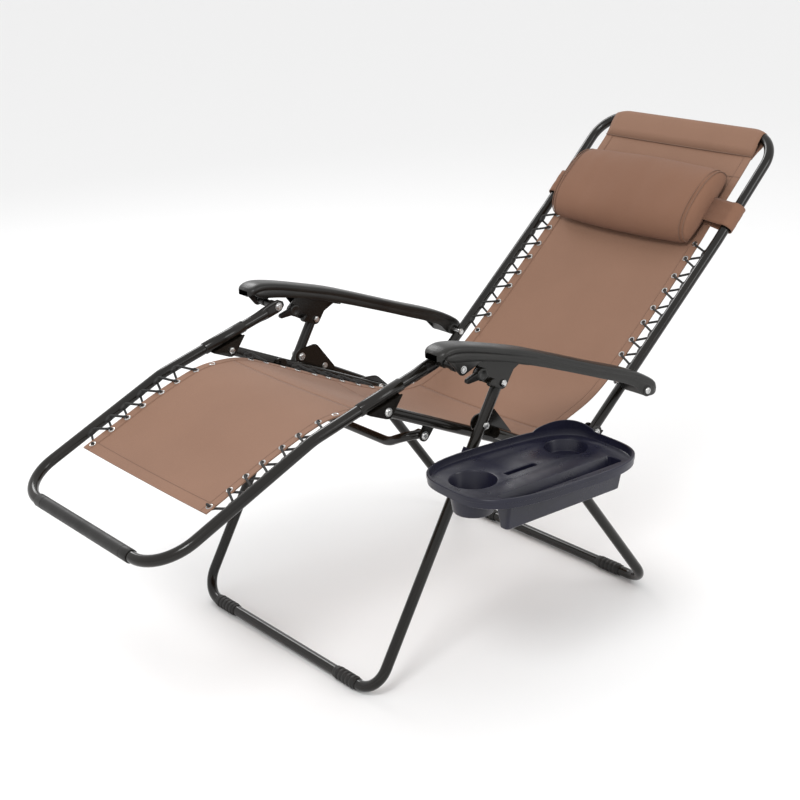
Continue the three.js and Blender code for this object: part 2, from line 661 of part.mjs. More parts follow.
const trayVoids = [
  slab(trayOutline(5), trayFloor, trayTop + 5),
  well(cupAt, 35.5, 45, trayTop - 59, trayTop + 1),
  well(bottleAt, 37.5, 42, trayTop - 37, trayTop + 1),
  trough(bookX, -28, 258, 5, 18, trayTop - 78, trayTop + 1),
  trough(phoneX, 53, 129, 6.5, 7, trayTop - 37, trayTop + 1),
];
addPiece("tray", cut(trayBody, ...trayVoids), trayBlue);
// U-shaped jaws push on to the left front leg from its outer side.
const clipAt = add2(floorFront, legDir, (432 - floorFront[1]) / legDir[1]);
const onClip = (d, off) => add2(add2(clipAt, legDir, d), legSideways, off);
const jaw = (a, b) => sidePlate(legX - 8, legX + tubeR + 6, [onClip(-22, a), onClip(22, a), onClip(22, b), onClip(-22, b)]);
const clipBack = sidePlate(legX + tubeR + gap, legX + tubeR + 6, [
  onClip(-22, -15.4), onClip(22, -15.4), onClip(22, 15.4), onClip(-22, 15.4),
]);
const clipArm = new THREE.BoxGeometry(62, 34, 12);
clipArm.translate(legX + tubeR + 3 + 31, clipAt[0], trayTop - 20 - gap - 6);
addPiece("tray_clip", join(jaw(11.4, 15.4), jaw(-15.4, -11.4), clipBack, clipArm), trayBlue);

// ---- Row frame: the centre of the box in x and y, and its lowest point, at the origin.
const box = new THREE.Box3().setFromObject(chair);
chair.position.set(-(box.min.x + box.max.x) / 2, -(box.min.y + box.max.y) / 2, -box.min.z);

export default part;
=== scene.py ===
"""Looks of the zero gravity recliner: smooth tubes, laced slings, pillow, armrests and tray."""

import math

import bmesh
import bpy
from mathutils import Matrix, Vector, noise


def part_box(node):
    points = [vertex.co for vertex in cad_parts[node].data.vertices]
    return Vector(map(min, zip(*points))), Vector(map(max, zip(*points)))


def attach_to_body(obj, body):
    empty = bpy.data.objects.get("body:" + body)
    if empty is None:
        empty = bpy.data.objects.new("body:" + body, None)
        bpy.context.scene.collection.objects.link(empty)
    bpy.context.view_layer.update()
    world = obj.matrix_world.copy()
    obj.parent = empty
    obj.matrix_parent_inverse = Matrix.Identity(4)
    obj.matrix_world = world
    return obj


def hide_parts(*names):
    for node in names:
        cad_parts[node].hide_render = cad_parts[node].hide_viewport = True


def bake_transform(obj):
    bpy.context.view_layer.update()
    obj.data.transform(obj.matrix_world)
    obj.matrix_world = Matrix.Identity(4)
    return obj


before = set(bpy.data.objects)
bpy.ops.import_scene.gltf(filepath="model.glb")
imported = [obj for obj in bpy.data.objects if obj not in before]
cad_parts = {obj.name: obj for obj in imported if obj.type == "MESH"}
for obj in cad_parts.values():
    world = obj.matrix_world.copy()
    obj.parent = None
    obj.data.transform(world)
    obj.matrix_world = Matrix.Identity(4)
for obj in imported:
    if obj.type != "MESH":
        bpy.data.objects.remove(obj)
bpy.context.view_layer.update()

# ---- Driving dimensions, in metres, in the chair's working frame.
# x = 0 is its plane of symmetry, z = 0 is the floor.
TUBE_R = 0.011
TUBE_SIDES = 28
GAP = 0.0004
PLATE = 0.003
FRAME_X = 0.262
LEG_X = 0.303
REAR_FOOT_X = 0.316
FOOT_DROP = 0.0026
FLOOR_FRONT = (-0.150, 0.011)
FLOOR_REAR = (0.599, 0.011)
LEG_PIVOT = (0.130, 0.496)
LEG_TOP = (0.182, 0.5886)
SLIDE_PIVOT = (0.173, 0.573)
SEAT_PIVOT = (0.316, 0.391)
FOOT_BAR = (-0.576, 0.394)
CALF_BEND = (-0.239, 0.548)
ARM_FRONT = (0.055, 0.632)
KNEE_PIVOT = (-0.077, 0.565)
BACK_PIVOT = (0.426, 0.3376)
ARM_REAR = (0.561, 0.470)
HEAD_BEND = (0.857, 0.7225)
TOP_BAR = (1.061, 0.920)
LOCK_AXIS = (0.109, 0.608)
SIDES = (("left", 1), ("right", -1))
CROSS_BAR_R = 0.009
FLOOR_BEND = 0.055
# Faces of the plates that clasp a frame tube, and that clasp a leg tube.
INNER_X = FRAME_X - TUBE_R - 2 * GAP - PLATE
OUTER_X = FRAME_X + TUBE_R + 2 * GAP + PLATE
BRACKET_X = LEG_X - TUBE_R - GAP - PLATE
ARM_X = LEG_X + 0.007
ARM_HALF = 0.028
ARM_WALL = 0.0032

# The working frame's origin in the row frame, from nodes whose place in both is known.
leg_low, leg_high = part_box("front_leg_tube")
bar_low, bar_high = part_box("foot_bar_sleeve")
ORIGIN = Vector(((leg_low.x + leg_high.x) / 2, (bar_low.y + bar_high.y) / 2 - FOOT_BAR[0], FOOT_DROP))


def at(x, p):
    """The row frame's point at x and side-view point p = (y, z) of the working frame."""
    return ORIGIN + Vector((x, p[0], p[1]))


def add2(a, b, k=1.0):
    return (a[0] + b[0] * k, a[1] + b[1] * k)


def unit2(a, b):
    d = math.hypot(b[0] - a[0], b[1] - a[1])
    return ((b[0] - a[0]) / d, (b[1] - a[1]) / d)


def dist2(a, b):
    return math.hypot(b[0] - a[0], b[1] - a[1])


def lerp2(a, b, t):
    return (a[0] + (b[0] - a[0]) * t, a[1] + (b[1] - a[1]) * t)


def along(start, end):
    """A function giving the point at a distance from start towards end, and up to the side."""
    d = unit2(start, end)
    n = (-d[1], d[0])
    return lambda s, up=0.0: add2(add2(start, d, s), n, up)


on_calf_lower = along(FOOT_BAR, CALF_BEND)
on_knee = along(CALF_BEND, ARM_FRONT)
on_rail = along(KNEE_PIVOT, BACK_PIVOT)
on_back = along(BACK_PIVOT, HEAD_BEND)
on_head = along(HEAD_BEND, TOP_BAR)
CALF_LENGTH = dist2(FOOT_BAR, CALF_BEND)
RAIL_LENGTH = dist2(KNEE_PIVOT, BACK_PIVOT)
HEAD_LENGTH = dist2(HEAD_BEND, TOP_BAR)


def on_calf(s, up=0.0):
    return on_calf_lower(s, up) if s < CALF_LENGTH else on_knee(s - CALF_LENGTH, up)


def project_on(start, end):
    """A function giving a point's distance from start towards end."""
    d = unit2(start, end)
    return lambda p: (p[0] - start[0]) * d[0] + (p[1] - start[1]) * d[1]


# ---- Materials
def nodes_of(name):
    material = bpy.data.materials.new(name)
    material.use_nodes = True
    tree = material.node_tree
    return material, tree, tree.nodes["Principled BSDF"]


def add_node(tree, kind, **inputs):
    node = tree.nodes.new(kind)
    for key, value in inputs.items():
        node.inputs[key.replace("_", " ")].default_value = value
    return node


def noise_bump(tree, shader, scale, strength, distance):
    """Fine grain on a surface: a bump from noise. Returns the coordinates for other textures."""
    coords = tree.nodes.new("ShaderNodeTexCoord")
    grain = add_node(tree, "ShaderNodeTexNoise", Scale=scale, Detail=4.0)
    bump = add_node(tree, "ShaderNodeBump", Strength=strength, Distance=distance)
    tree.links.new(coords.outputs["Object"], grain.inputs["Vector"])
    tree.links.new(grain.outputs["Fac"], bump.inputs["Height"])
    tree.links.new(bump.outputs["Normal"], shader.inputs["Normal"])
    return coords


def colour_ramp(tree, low, high, low_at, high_at):
    ramp = tree.nodes.new("ShaderNodeValToRGB")
    ends = ramp.color_ramp.elements
    ends[0].position, ends[1].position = low_at, high_at
    ends[0].color, ends[1].color = (*low, 1), (*high, 1)
    return ramp


def vary(tree, coords, scale, low, high, socket):
    """Varies a colour or value socket between low and high by noise."""
    cloud = add_node(tree, "ShaderNodeTexNoise", Scale=scale, Detail=3.0)
    tree.links.new(coords.outputs["Object"], cloud.inputs["Vector"])
    ramp = colour_ramp(tree, low, high, 0.3, 0.7)
    tree.links.new(cloud.outputs["Fac"], ramp.inputs["Fac"])
    tree.links.new(ramp.outputs["Color"], socket)


def painted_steel():
    """Gloss black powder coat with a slight orange peel."""
    material, tree, shader = nodes_of("gloss_black_steel")
    shader.inputs["Metallic"].default_value = 0.0
    shader.inputs["Specular IOR Level"].default_value = 0.34
    coords = noise_bump(tree, shader, 420.0, 0.08, 0.0004)
    vary(tree, coords, 9.0, (0.0045, 0.0038, 0.003), (0.0085, 0.007, 0.0052), shader.inputs["Base Color"])
    vary(tree, coords, 24.0, (0.13,) * 3, (0.22,) * 3, shader.inputs["Roughness"])
    return material


def moulded_plastic(name, dark, light, rough, grain=1400.0, strength=0.25):
    material, tree, shader = nodes_of(name)
    shader.inputs["Specular IOR Level"].default_value = 0.36
    coords = noise_bump(tree, shader, grain, strength, 0.0004)
    vary(tree, coords, 12.0, dark, light, shader.inputs["Base Color"])
    vary(tree, coords, 30.0, (rough - 0.05,) * 3, (rough + 0.07,) * 3, shader.inputs["Roughness"])
    return material


def plated_steel():
    material, tree, shader = nodes_of("plated_steel")
    shader.inputs["Metallic"].default_value = 1.0
    coords = noise_bump(tree, shader, 900.0, 0.1, 0.0003)
    vary(tree, coords, 60.0, (0.42, 0.42, 0.43), (0.62, 0.62, 0.6), shader.inputs["Base Color"])
    vary(tree, coords, 90.0, (0.2,) * 3, (0.38,) * 3, shader.inputs["Roughness"])
    return material


def math_node(tree, operation, a, b=None):
    node = tree.nodes.new("ShaderNodeMath")
    node.operation = operation
    for i, value in enumerate((a, b)):
        if value is None:
            continue
        if isinstance(value, (int, float)):
            node.inputs[i].default_value = value
        else:
            tree.links.new(value, node.inputs[i])
    return node.outputs[0]


def woven(name, pitch, dark, light, rough, bump_distance, melange):
    """A plain weave from UVs in metres: threads of one pitch both ways, with painted shade darkening the gaps
    between threads and lightening the thread crowns, and mottled yarn.
    """
    material, tree, shader = nodes_of(name)
    shader.inputs["Roughness"].default_value = rough
    shader.inputs["Specular IOR Level"].default_value = 0.15
    shader.inputs["Sheen Weight"].default_value = 0.06
    shader.inputs["Sheen Roughness"].default_value = 0.5
    uv = tree.nodes.new("ShaderNodeUVMap")
    uv.uv_map = "UVMap"
    parts = tree.nodes.new("ShaderNodeSeparateXYZ")
    tree.links.new(uv.outputs["UV"], parts.inputs[0])
    turns = 2 * math.pi / pitch
    wave_u = math_node(tree, "SINE", math_node(tree, "MULTIPLY", parts.outputs[0], turns))
    wave_v = math_node(tree, "SINE", math_node(tree, "MULTIPLY", parts.outputs[1], turns))
    weave = math_node(tree, "ADD", math_node(tree, "MULTIPLY", wave_u, wave_v), 1.0)
    height = math_node(tree, "POWER", math_node(tree, "MULTIPLY", weave, 0.5), 0.7)
    coords = tree.nodes.new("ShaderNodeTexCoord")
    cloud = add_node(tree, "ShaderNodeTexNoise", Scale=5.0, Detail=3.0)
    tree.links.new(coords.outputs["Object"], cloud.inputs["Vector"])
    yarn = add_node(tree, "ShaderNodeTexNoise", Scale=700.0, Detail=2.0)
    tree.links.new(coords.outputs["Object"], yarn.inputs["Vector"])
    # Colour mixes painted shade from the weave's height (dark in the gaps, light on the crowns) with the yarn's
    # real mottle.
    gap_shade_and_mottle = math_node(tree, "ADD", math_node(tree, "MULTIPLY", height, 1 - melange), math_node(
        tree, "MULTIPLY", math_node(tree, "ADD", yarn.outputs["Fac"], cloud.outputs["Fac"]), melange * 0.5))
    ramp = colour_ramp(tree, dark, light, 0.12, 0.85)
    tree.links.new(gap_shade_and_mottle, ramp.inputs["Fac"])
    tree.links.new(ramp.outputs["Color"], shader.inputs["Base Color"])
    bump = add_node(tree, "ShaderNodeBump", Strength=0.5, Distance=bump_distance)
    tree.links.new(height, bump.inputs["Height"])
    tree.links.new(bump.outputs["Normal"], shader.inputs["Normal"])
    return material


def braided_cord():
    material, tree, shader = nodes_of("black_cord")
    shader.inputs["Roughness"].default_value = 0.75
    coords = tree.nodes.new("ShaderNodeTexCoord")
    braid = add_node(tree, "ShaderNodeTexVoronoi", Scale=750.0)
    tree.links.new(coords.outputs["Object"], braid.inputs["Vector"])
    bump = add_node(tree, "ShaderNodeBump", Strength=0.5, Distance=0.0006)
    tree.links.new(braid.outputs["Distance"], bump.inputs["Height"])
    tree.links.new(bump.outputs["Normal"], shader.inputs["Normal"])
    vary(tree, coords, 300.0, (0.006, 0.006, 0.006), (0.022, 0.021, 0.02), shader.inputs["Base Color"])
    return material


STEEL = painted_steel()
PLASTIC = moulded_plastic("black_plastic", (0.0052, 0.005, 0.0045), (0.0105, 0.0098, 0.0085), 0.36)
SLEEVE = moulded_plastic("sleeve_plastic", (0.006, 0.0055, 0.005), (0.011, 0.01, 0.009), 0.46)
TRAY = moulded_plastic("tray_plastic", (0.0048, 0.0048, 0.0125), (0.0085, 0.0085, 0.0205), 0.3, 900.0, 0.14)
BRIGHT = plated_steel()
# The woven materials below carry painted shade in their weave gaps, besides their own mottled tone.
FABRIC = woven("sling_weave", 0.0026, (0.1435, 0.0760, 0.0495), (0.287, 0.162, 0.108), 0.75, 0.0005, 0.45)
PADDING = woven("pillow_weave", 0.0024, (0.128, 0.0620, 0.0385), (0.240, 0.126, 0.080), 0.8, 0.0004, 0.45)
THREAD = woven("seam_thread", 0.0016, (0.12, 0.067, 0.046), (0.21, 0.125, 0.088), 0.8, 0.0003, 0.3)
CORD = braided_cord()


# ---- Mesh helpers
def new_object(name, verts, faces):
    """A mesh object in the row frame."""
    mesh = bpy.data.meshes.new(name)
    mesh.from_pydata([tuple(v) for v in verts], [], faces)
    obj = bpy.data.objects.new(name, mesh)
    bpy.context.scene.collection.objects.link(obj)
    return obj


def piece(name, shape, material, body=None, replaces=(), uvs=None, smooth_angle=40.0):
    """A new object from (verts, faces), with its material, that rides on a body and stands for CAD nodes."""
    obj = new_object(name, *shape)
    mesh = obj.data
    mesh.materials.append(material)
    work = bmesh.new()
    work.from_mesh(mesh)
    bmesh.ops.remove_doubles(work, verts=work.verts, dist=1e-6)
    if uvs is None:
        bmesh.ops.recalc_face_normals(work, faces=work.faces)
    work.to_mesh(mesh)
    work.free()
    if uvs is not None:
        set_uvs(mesh, uvs)
    mesh.shade_smooth()
    sharpen(mesh, smooth_angle)
    finish_piece(obj, body, replaces)
    return obj


def set_uvs(mesh, uv_of):
    layer = mesh.uv_layers.new(name="UVMap")
    for loop in mesh.loops:
        layer.data[loop.index].uv = uv_of(mesh.vertices[loop.vertex_index].co)


def by_place(verts, uv):
    """A function that finds a vertex's UV again by its place."""
    table = {tuple(round(c, 6) for c in v): t for v, t in zip(verts, uv)}
    return lambda co: table[tuple(round(c, 6) for c in co)]


def ring_faces(rings, n, closed_ends=True):
    """Quads between rings of n points each, with a face over both ends."""
    faces = [(i * n + k, i * n + (k + 1) % n, (i + 1) * n + (k + 1) % n, (i + 1) * n + k)
             for i in range(rings - 1) for k in range(n)]
    if closed_ends:
        faces += [tuple(reversed(range(n))), tuple(range((rings - 1) * n, rings * n))]
    return faces


def lofted(rings):
    return [v for ring in rings for v in ring], ring_faces(len(rings), len(rings[0]))


def grid_faces(rows, columns):
    """Quads of a sheet of rows by columns cells."""
    n = columns + 1
    return [(i * n + k, i * n + k + 1, (i + 1) * n + k + 1, (i + 1) * n + k)
            for i in range(rows) for k in range(columns)]


def thicken(obj, thickness):
    solid = obj.modifiers.new("cloth", "SOLIDIFY")
    solid.thickness = thickness
    solid.offset = 0


def finish_piece(obj, body, replaces):
    if body:
        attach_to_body(obj, body)
    if replaces:
        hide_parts(*replaces)


def sharpen(mesh, angle):
    """Marks edges sharper than an angle, so that flat faces and round walls shade apart."""
    work = bmesh.new()
    work.from_mesh(mesh)
    limit = math.radians(angle)
    for edge in work.edges:
        edge.smooth = len(edge.link_faces) != 2 or edge.calc_face_angle(0.0) < limit
    work.to_mesh(mesh)
    work.free()


def join_parts(*parts):
    """Joins (verts, faces) pairs into one."""
    verts, faces = [], []
    for v, f in parts:
        base = len(verts)
        verts.extend(v)
        faces.extend([tuple(i + base for i in face) for face in f])
    return verts, faces


def rounded(corners):
    """Replaces the inner corners of a polyline, given as (point, radius, steps), with arcs."""
    out = [corners[0][0]]
    for i in range(1, len(corners) - 1):
        p, r, n = corners[i]
        a = (corners[i - 1][0] - p).normalized()
        b = (corners[i + 1][0] - p).normalized()
        half = a.angle(b) / 2
        centre = p + (a + b).normalized() * (r / math.sin(half))
        reach = r / math.tan(half)
        start, end = p + a * reach - centre, p + b * reach - centre
        turn = start.angle(end)
        for k in range(n + 1):
            t = k / n
            w0, w1 = math.sin((1 - t) * turn) / math.sin(turn), math.sin(t * turn) / math.sin(turn)
            out.append(centre + start * w0 + end * w1)
    out.append(corners[-1][0])
    return out


def sweep(points, radius, sides=24, closed_ends=True):
    """A round tube along points, with frames carried along it so that it doesn't twist."""
    n = len(points)
    tangents = []
    for i in range(n):
        before = (points[i] - points[i - 1]).normalized() if i else None
        after = (points[i + 1] - points[i]).normalized() if i < n - 1 else None
        tangents.append(((before or after) + (after or before)).normalized())
    normal = tangents[0].orthogonal().normalized()
    verts = []
    for i, p in enumerate(points):
        if i:
            normal = (tangents[i - 1].rotation_difference(tangents[i]) @ normal).normalized()
        normal = (normal - tangents[i] * normal.dot(tangents[i])).normalized()
        side = tangents[i].cross(normal)
        r = radius(i / (n - 1)) if callable(radius) else radius
        for k in range(sides):
            a = 2 * math.pi * k / sides
            verts.append(p + normal * (r * math.cos(a)) + side * (r * math.sin(a)))
    return verts, ring_faces(n, sides, closed_ends)


def lathe_x(profile, centre, sides=32):
    """A solid of revolution about an axis along X through side-view point centre: profile is (x, radius)."""
    turns = [2 * math.pi * k / sides for k in range(sides)]
    return lofted([[at(x, (centre[0] + r * math.cos(a), centre[1] + r * math.sin(a))) for a in turns]
                   for x, r in profile])


def smooth_path(points, steps):
    """A Catmull-Rom curve through points."""
    out = []
    for i in range(len(points) - 1):
        p1, p2 = points[i], points[i + 1]
        p0 = points[i - 1] if i else p1 + (p1 - p2)
        p3 = points[i + 2] if i + 2 < len(points) else p2 + (p2 - p1)
        for k in range(steps):
            t = k / steps
            out.append(0.5 * (2 * p1 + (p2 - p0) * t + (2 * p0 - 5 * p1 + 4 * p2 - p3) * t * t
                              + (3 * p1 - p0 - 3 * p2 + p3) * t ** 3))
    out.append(points[-1])
    return out


def carry(node, material, bevel=0.0006):
    """A CAD node whose shape is right keeps its mesh and gets rounded edges and a material."""
    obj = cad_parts[node]
    obj.data.materials.clear()
    obj.data.materials.append(material)
    modifier = obj.modifiers.new("edges", "BEVEL")
    modifier.width = bevel
    modifier.segments = 2
    modifier.limit_method = "ANGLE"
    modifier.angle_limit = math.radians(50)
    obj.data.shade_smooth()
    sharp = obj.modifiers.new("shade", "WEIGHTED_NORMAL")
    sharp.keep_sharp = True
    return obj


# ---- Camera: the photograph's viewing angle
def make_camera():
    data = bpy.data.cameras.new("camera")
    data.lens = 70.66
    data.sensor_width = 36
    camera = bpy.data.objects.new("camera", data)
    bpy.context.scene.collection.objects.link(camera)
    target = at(0, (0.1726, 0.4575))
    azimuth, elevation, roll = math.radians(51.34), math.radians(19.38), math.radians(-1.67)
    level = math.cos(elevation)
    back = Vector((math.sin(azimuth) * level, -math.cos(azimuth) * level, math.sin(elevation)))
    camera.location = target + back * 3.2876
    right = Vector((0, 0, 1)).cross(back).normalized()
    up = back.cross(right)
    right, up = right * math.cos(roll) + up * math.sin(roll), up * math.cos(roll) - right * math.sin(roll)
    camera.rotation_mode = "QUATERNION"
    camera.rotation_quaternion = Matrix((right, up, back)).transposed().to_quaternion()
    bpy.context.scene.camera = camera
    bpy.context.scene.view_settings.view_transform = "Standard"


def make_stage():
    """A pale floor with soft lights from above, both sides and the front."""
    size = 40.0
    corners = [(-size, -size, 0), (size, -size, 0), (size, size, 0), (-size, size, 0)]
    floor = new_object("floor", corners, [(0, 1, 2, 3)])
    material, _, shader = nodes_of("pale_floor")
    shader.inputs["Base Color"].default_value = (0.86, 0.86, 0.86, 1)
    shader.inputs["Roughness"].default_value = 0.9
    floor.data.materials.append(material)
    world = bpy.data.worlds.new("studio")
    bpy.context.scene.world = world
    world.use_nodes = True
    sky = world.node_tree.nodes["Background"]
    sky.inputs["Color"].default_value = (1.0, 1.0, 1.0, 1)
    sky.inputs["Strength"].default_value = 1.0
    for name, place, power, width in (
        ("key", (1.6, -2.2, 3.2), 60, 1.0),
        ("fill", (3.2, 1.6, 2.2), 26, 1.4),
        ("rim", (-3.0, 0.6, 2.8), 34, 1.2),
    ):
        light = bpy.data.lights.new(name, "AREA")
        light.energy = power
        light.size = width
        lamp = bpy.data.objects.new(name, light)
        lamp.location = place
        lamp.rotation_mode = "QUATERNION"
        lamp.rotation_quaternion = (Vector(place) - Vector((0, 0, 0.5))).to_track_quat("Z", "Y")
        bpy.context.scene.collection.objects.link(lamp)


make_camera()
make_stage()


# ---- Frame tubes
def tube_piece(name, corners, body, replaces):
    piece(name, sweep(rounded(corners), TUBE_R, TUBE_SIDES), STEEL, body, replaces)


def end(x, p):
    return (at(x, p), 0, 0)


def leg_tubes():
    tube_piece("front_leg_u", [
        end(-LEG_X, LEG_TOP), (at(-LEG_X, FLOOR_FRONT), FLOOR_BEND, 14),
        (at(LEG_X, FLOOR_FRONT), FLOOR_BEND, 14), end(LEG_X, LEG_TOP),
    ], "front_legs", ["front_leg_tube"])
    upper = unit2(LEG_PIVOT, SEAT_PIVOT)
    start = add2(lerp2(LEG_PIVOT, SEAT_PIVOT, 0.2), (-upper[1], upper[0]), -0.006)
    upper_x = LEG_X + 0.002
    tube_piece("rear_leg_u", [
        end(-upper_x, start), (at(-upper_x, SEAT_PIVOT), 0.06, 8),
        (at(-REAR_FOOT_X, FLOOR_REAR), FLOOR_BEND, 14), (at(REAR_FOOT_X, FLOOR_REAR), FLOOR_BEND, 14),
        (at(upper_x, SEAT_PIVOT), 0.06, 8), end(upper_x, start),
    ], "rear_legs", ["rear_leg_tube"])


def foot_frame_tube():
    knee = unit2(CALF_BEND, ARM_FRONT)
    arm_end = add2(ARM_FRONT, knee, -0.034)
    route = rounded([
        end(-FRAME_X, arm_end), (at(-FRAME_X, CALF_BEND), 0.16, 6), (at(-FRAME_X, FOOT_BAR), 0.085, 16),
        (at(FRAME_X, FOOT_BAR), 0.085, 16), (at(FRAME_X, CALF_BEND), 0.16, 6), end(FRAME_X, arm_end),
    ])
    spades = [spade(s, knee) for _, s in SIDES]
    shape = join_parts(sweep(route, TUBE_R, TUBE_SIDES), *spades)
    piece("foot_frame_u", shape, STEEL, "foot_frame", ["foot_frame_tube"])


def seat_rails():
    for side, s in SIDES:
        rail = [at(s * FRAME_X, on_rail(-0.008)), at(s * FRAME_X, on_rail(RAIL_LENGTH + 0.009))]
        shape = sweep(rail, TUBE_R, TUBE_SIDES)
        piece("seat_rail_bar_" + side, shape, STEEL, "seat_frame", ["seat_rail_" + side])


def back_frame_tube():
    start = on_back(0.05)
    tube_piece("back_frame_arch", [
        end(-FRAME_X, start), (at(-FRAME_X, HEAD_BEND), 0.16, 4), (at(-FRAME_X, TOP_BAR), 0.075, 16),
        (at(FRAME_X, TOP_BAR), 0.075, 16), (at(FRAME_X, HEAD_BEND), 0.16, 4), end(FRAME_X, start),
    ], "back_frame", ["back_frame_tube"])


def spade(s, direction):
    """The pressed flat end of a foot frame arm: the tube's section flattens from round to a plate."""
    n = 9
    across = Vector((0, -direction[1], direction[0]))
    rings = []
    for i in range(n):
        t = i / (n - 1)
        p = at(s * FRAME_X, add2(ARM_FRONT, direction, -0.062 + 0.076 * t))
        flat = min(1.0, t * 2.2)
        flat = flat * flat * (3 - 2 * flat)
        half_x = TUBE_R * (1 - flat) * 1.002 + 0.004 * flat
        half_n = TUBE_R * (1 - flat) * 1.002 + 0.0142 * flat
        if t > 0.8:
            half_n *= math.sqrt(max(0.0, 1 - ((t - 0.8) / 0.2 * 0.93) ** 2))
        square = 1 - 0.45 * flat
        ring = []
        for k in range(TUBE_SIDES):
            a = 2 * math.pi * k / TUBE_SIDES
            c, q = math.cos(a), math.sin(a)
            ring.append(p + Vector((half_x * math.copysign(abs(c) ** square, c), 0, 0))
                        + across * (half_n * math.copysign(abs(q) ** square, q)))
        rings.append(ring)
    return lofted(rings)


def knee_sleeves():
    """The gusset's rolled sleeve round the foot tube."""
    foot = project_on(CALF_BEND, ARM_FRONT)(KNEE_PIVOT)
    stops = (-0.052, -0.0515, -0.051, 0.051, 0.0515, 0.052)
    walls = [TUBE_R + t for t in (0.0003, 0.0013, 0.0017, 0.0017, 0.0013, 0.0003)]
    for side, s in SIDES:
        route = [at(s * FRAME_X, on_knee(foot + t)) for t in stops]
        shape = sweep(route, lambda t: walls[round(t * 5)], 32)
        piece("knee_sleeve_" + side, shape, STEEL, "foot_frame")


def cross_bar():
    """A bar with cranked ends, held by a flat pad at each side."""
    centre = on_rail(0.131, -0.030)

    def arm(s):
        return [
            end(s * (INNER_X - 0.009), centre),
            (at(s * (INNER_X - 0.009), add2(centre, (-0.036, 0.005))), 0.028, 8),
            (at(s * (INNER_X - 0.060), add2(centre, (-0.038, -0.020))), 0.060, 6),
        ]

    route = rounded(arm(-1) + arm(1)[::-1])
    pads = [lathe_x([(s * (INNER_X - 0.018), 0.0085), (s * (INNER_X - 0.0175), 0.009), (s * INNER_X, 0.009)],
                    centre, 28) for _, s in SIDES]
    shape = join_parts(sweep(route, CROSS_BAR_R, 24), *pads)
    piece("cross_bar_smooth", shape, STEEL, "seat_frame", ["seat_cross_bar"])


# ---- Fasteners
def screw(x0, x1, p, r=0.004, head_r=0.0075, head_t=0.004, nut=True):
    """A bolt along X: a domed head with a socket at x0, a washer under it and a chamfered nut at x1."""
    d = 1 if x1 > x0 else -1
    head = [(x0 - d * back, radius) for back, radius in (
        (head_t - 0.0018, 0.0004), (head_t - 0.0016, 0.0026), (head_t - 0.0001, 0.0031), (head_t, 0.0037),
        (head_t - 0.0003, 0.0055), (0.0022, head_r * 0.93), (0.0011, head_r), (0.0008, head_r),
        (0.0008, head_r + 0.0012), (0, head_r + 0.0012),
    )]
    shaft = [(x0, r), (x1 + d * 0.001, r)]
    parts = [lathe_x(head, p, 28), lathe_x(shaft, p, 20)]
    if nut:
        parts.append(lathe_x([
            (x1, head_r - 0.0012), (x1 + d * 0.0005, head_r - 0.0003),
            (x1 + d * (head_t - 0.0006), head_r - 0.0003), (x1 + d * head_t, head_r - 0.0014),
        ], p, 6))
        parts.append(lathe_x([(x1, r - 0.0003), (x1 + d * (head_t + 0.0004), r - 0.0006)], p, 20))
    return join_parts(*parts)


def pivot_bolts():
    arm_out = ARM_X + ARM_HALF + GAP
    tube_in = FRAME_X - TUBE_R - GAP
    stub = ARM_X + ARM_HALF - ARM_WALL - PLATE
    table = (
        ("leg_pivot_bolt", BRACKET_X - GAP, LEG_X + TUBE_R + GAP, LEG_PIVOT, "front_legs"),
        ("knee_bolt", OUTER_X, INNER_X, KNEE_PIVOT, "knee_bolts"),
        ("seat_pivot_bolt", LEG_X + 0.002 + TUBE_R + GAP, tube_in, SEAT_PIVOT, "rear_legs"),
        ("cross_bar_bolt", FRAME_X - TUBE_R, INNER_X - 0.018 - GAP, on_rail(0.131, -0.030), "seat_frame"),
        ("back_pivot_bolt", OUTER_X, INNER_X, BACK_PIVOT, "back_bolts"),
        ("armrest_rear_bolt", arm_out, tube_in, ARM_REAR, "armrest_bolt"),
        ("armrest_front_bolt", FRAME_X - 0.004 - GAP, stub - 0.004, ARM_FRONT, "foot_frame"),
    )
    for side, s in SIDES:
        for name, x0, x1, p, body in table:
            body = body + "_" + side if body == "armrest_bolt" else body
            shape = screw(s * x0, s * x1, p)
            piece(name + "_detail_" + side, shape, BRIGHT, body, [name + "_" + side])
        low, high = slide_faces(s)
        shape = screw(low - GAP, high + GAP, SLIDE_PIVOT)
        piece("slide_bolt_detail_" + side, shape, BRIGHT, "slide_bolt_" + side, ["slide_bolt_" + side])


def fixing_screws():
    """Screws that only fasten: through the rear leg bracket, the clevis and the armrest's front ear."""
    arm_out = ARM_X + ARM_HALF + GAP
    for side, s in SIDES:
        for name, x0, x1, p, body in (
            ("bracket_screw", BRACKET_X, BRACKET_X + PLATE, lerp2(LEG_PIVOT, SEAT_PIVOT, 0.33), "rear_legs"),
            ("clevis_screw", FRAME_X + TUBE_R + GAP + PLATE, FRAME_X, on_back(0.068), "back_frame"),
            ("armrest_ear_screw", arm_out - GAP, arm_out - 0.004, ARM_FRONT, "armrest_" + side),
        ):
            shape = screw(s * x0, s * x1, p, 0.003, 0.006, 0.0032, nut=False)
            piece(name + "_" + side, shape, BRIGHT, body)


# ---- Plastic sleeves on the bars
def ribbed(half, ribs, r_low, r_high):
    """The profile of a sleeve with rounded ribs, as (x, radius) pairs from -half to half."""
    out = [(-half, TUBE_R + 0.0003), (-half, r_low - 0.0004), (-half + 0.0006, r_low)]
    pitch = (2 * half - 0.012) / ribs
    for i in range(ribs):
        x = -half + 0.006 + pitch * (i + 0.5)
        w = pitch * 0.3
        out += [(x - w - 0.0008, r_low), (x - w, r_high - 0.0003), (x - w + 0.0006, r_high),
                (x + w - 0.0006, r_high), (x + w, r_high - 0.0003), (x + w + 0.0008, r_low)]
    out += [(half - 0.0006, r_low), (half, r_low - 0.0004), (half, TUBE_R + 0.0003)]
    return out


